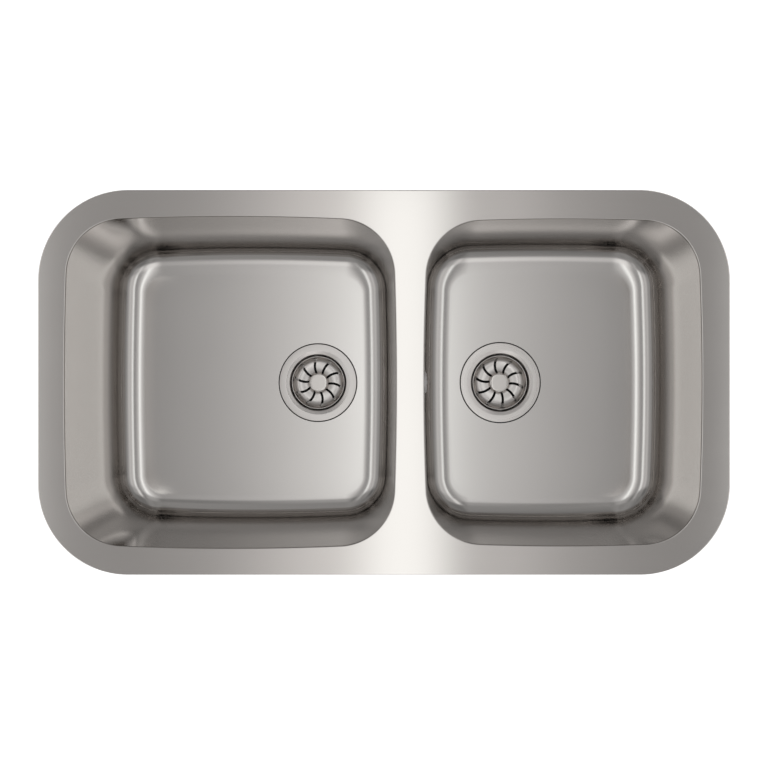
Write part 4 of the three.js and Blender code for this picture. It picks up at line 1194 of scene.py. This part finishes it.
@dataclass(frozen=True)
class Sky:
    """Soft light from all round: long panels that run from front to back, brightest overhead.

    Each panel row is (degrees from upright towards +X, strength), and the strengths between rows are smooth.
    """

    overhead: Panel = (
        (-84, 0.02), (-72, 0.48), (-61, 0.38), (-51, 0.41), (-42, 0.76), (-35, 0.53), (-30, 0.90),
        (-26, 1.62), (-21.5, 0.40), (-16.5, 0.38), (-12, 0.46), (-8.5, 0.63), (-5.5, 0.84),
        (-2.75, 0.95), (0, 1.62), (2.75, 1.62), (5.5, 0.66), (8.5, 0.71), (12, 0.51), (16.5, 0.38),
        (21.5, 0.31), (26, 1.62), (30, 0.82), (35, 0.62), (42, 0.79), (51, 0.46), (61, 0.28),
        (72, 0.53), (84, 0.05),
    )
    front: Panel = (
        (-84, 0.35), (-72, 0.45), (-61, 0.27), (-51, 0.14), (-42, 0.32), (-35, 0.32), (-26, 0.34),
        (-21.5, 0.66), (-16.5, 0.42), (-12, 0.62), (-8.5, 0.88), (-5.5, 1.12), (0, 1.15), (5.5, 1.12),
        (8.5, 1.05), (12, 0.85), (16.5, 0.60), (21.5, 1.00), (26, 0.77), (30, 0.54), (42, 0.46),
        (51, 0.29), (61, 0.26), (72, 0.39), (84, 0.30),
    )
    back: Panel = (
        (-84, 0.28), (-72, 0.45), (-61, 0.28), (-51, 0.12), (-42, 0.31), (-35, 0.37), (-30, 0.27),
        (-26, 0.39), (-21.5, 0.67), (-16.5, 0.27), (-12, 0.20), (-8.5, 0.40), (-5.5, 0.45),
        (-2.75, 0.50), (0, 0.50), (5.5, 0.50), (8.5, 0.44), (12, 0.25), (16.5, 0.28), (21.5, 1.29),
        (26, 0.88), (30, 0.51), (42, 0.47), (51, 0.29), (61, 0.29), (72, 0.53), (84, 0.54),
    )
    ends: Panel = (
        (-84, 0.05), (-72, 0.12), (-61, 0.27), (-42, 0.24), (-26, 0.33), (-12, 0.35), (0, 0.30),
        (6, 0.37), (16, 0.31), (26, 0.20), (42, 0.23), (61, 0.25), (84, 0.38),
    )
    overhead_reach: tuple[float, float] = (16.0, 23.0)
    slope_reach: tuple[float, float] = (30.0, 38.0)
    front_to_back: tuple[float, float] = (-0.15, 0.15)
    lean: float = -4.0
    level: float = 0.98
    brightest: float = 1.6
    brightest_white: Triple = (0.972, 1.0, 1.0)

    def panel(self, nodes: Nodes, across: Socket, rows: Panel) -> Socket:
        """A panel's strength at each angle.

        Args:
            nodes: the world's nodes.
            across: the angle from upright towards +X as a share of the half turn from -X to +X.
            rows: the panel.

        Returns:
            The strength.
        """
        ramp = nodes.add("ShaderNodeValToRGB", {"Fac": across})
        stops = ramp.color_ramp.elements
        while len(stops) < len(rows):
            stops.new(0.5)
        for stop, (degrees, strength) in zip(stops, rows):
            stop.position = 0.5 + degrees / 180
            colour = self.brightest_white if strength > self.brightest else WHITE
            stop.color = [strength * self.level * part for part in colour] + [1.0]
        return ramp.outputs["Color"]

    def radiance(self, nodes: Nodes) -> Socket:
        """The light's strength in each direction.

        With the direction (x, y, z), the angle across is atan2(x, z) and the angle along is asin y. The overhead
        panels reach a little to the front and back, the slopes lie beyond them, and the ends close the room.
        """
        way = nodes.add("ShaderNodeTexCoord").outputs["Generated"]
        parts = nodes.add("ShaderNodeSeparateXYZ", {"Vector": way}).outputs
        angle = nodes.math("ARCTAN2", parts["X"], parts["Z"])
        across = nodes.math("MULTIPLY_ADD", angle, 1 / math.pi, 0.5)
        middle = math.radians(self.lean)
        along = nodes.math("ABSOLUTE", nodes.math("SUBTRACT", nodes.math("ARCSINE", parts["Y"]), middle))

        def blend(value: Socket, limits: Sequence[float], low: Socket, high: Socket) -> Socket:
            """A smooth change from one colour to another between two limits."""
            values = {"Value": value, "From Min": limits[0], "From Max": limits[1]}
            share = nodes.add("ShaderNodeMapRange", values, interpolation_type="SMOOTHSTEP").outputs["Result"]
            return nodes.mixed(share, low, high)

        overhead, front, back, ends = (
            self.panel(nodes, across, rows) for rows in (self.overhead, self.front, self.back, self.ends)
        )
        slopes = blend(parts["Y"], self.front_to_back, front, back)
        near = blend(along, [math.radians(reach) for reach in self.overhead_reach], overhead, slopes)
        return blend(along, [math.radians(reach) for reach in self.slope_reach], near, ends)


@dataclass(frozen=True)
class Studio:
    """A pale floor, soft light from a bright band overhead, and the camera straight above the rim."""

    camera: Triple = (-32.0, -2.0, 1050.0)
    lens: float = 40.31
    sensor: float = 36.0
    clip_end: float = 200.0
    floor_height: float = -295.5
    floor_size: float = 60.0
    floor_colour: Triple = (0.8, 0.8, 0.8)
    floor_glow: float = 0.8
    sky: Sky = Sky()

    def build_camera(self) -> None:
        """Makes the camera that looks straight down with the back of the sink at the top."""
        data = bpy.data.cameras.new("camera")
        data.lens = self.lens
        data.sensor_width = self.sensor
        data.clip_end = self.clip_end
        camera = bpy.data.objects.new("camera", data)
        camera.location = [part * MM for part in self.camera]
        bpy.context.collection.objects.link(camera)
        bpy.context.scene.camera = camera

    def build_floor(self) -> None:
        """Makes the floor: pale paint that takes the shadow, and glows where camera, gloss or glass sees it."""
        half = self.floor_size / 2
        level = self.floor_height * MM
        mesh = bpy.data.meshes.new("floor")
        corners = [(-half, -half, level), (half, -half, level), (half, half, level), (-half, half, level)]
        mesh.from_pydata(corners, [], [(0, 1, 2, 3)])
        floor = bpy.data.objects.new("floor", mesh)
        bpy.context.collection.objects.link(floor)
        material = bpy.data.materials.new("floor_paint")
        nodes = Nodes.fresh(material)
        paint = nodes.add("ShaderNodeBsdfDiffuse", {"Color": (*self.floor_colour, 1)})
        path = nodes.add("ShaderNodeLightPath").outputs
        seen = nodes.math("MAXIMUM", path["Is Camera Ray"], path["Is Glossy Ray"])
        seen = nodes.math("MAXIMUM", seen, path["Is Transmission Ray"])
        strength = nodes.math("MULTIPLY", seen, self.floor_glow)
        glow = nodes.add("ShaderNodeEmission", {"Color": (*WHITE, 1), "Strength": strength})
        both = nodes.add("ShaderNodeAddShader", {0: paint.outputs[0], 1: glow.outputs[0]})
        nodes.add("ShaderNodeOutputMaterial", {"Surface": both.outputs[0]})
        mesh.materials.append(material)

    def build_world(self) -> None:
        """Makes the sky: the studio's soft light, white where the camera looks at it."""
        world = bpy.data.worlds.new("studio")
        bpy.context.scene.world = world
        nodes = Nodes.fresh(world)
        light = self.sky.radiance(nodes)
        seen = nodes.add("ShaderNodeLightPath").outputs["Is Camera Ray"]
        colour = nodes.mixed(seen, light, (*WHITE, 1.0))
        sky = nodes.add("ShaderNodeBackground", {"Color": colour, "Strength": 1.0})
        nodes.add("ShaderNodeOutputWorld", {"Surface": sky.outputs[0]})

    def build(self) -> None:
        """Makes the camera, the floor and the light."""
        bpy.context.scene.view_settings.view_transform = "Standard"
        self.build_camera()
        self.build_floor()
        self.build_world()


def main() -> None:
    """Builds the sub-assemblies in order."""
    logging.basicConfig(level=logging.INFO, format="%(name)s: %(message)s")
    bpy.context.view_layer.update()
    Studio().build()
    paint = {name: finish.material(name) for name, finish in FINISHES.items()}
    overflow = Overflow()
    Rim().build(paint["rim_steel"])
    Bowl("left", LEFT_OPENING, 200.0, -128.0, 14).build(paint)
    Bowl("right", RIGHT_OPENING, 163.0, 132.0, 30, overflow, outer_ease=1.5).build(paint)
    Strainer("left", -128.0, -200.0).build(paint)
    Strainer("right", 132.0, -163.0, port=overflow).build(paint)
    overflow.build(paint)


if __name__ == "__main__":
    main()
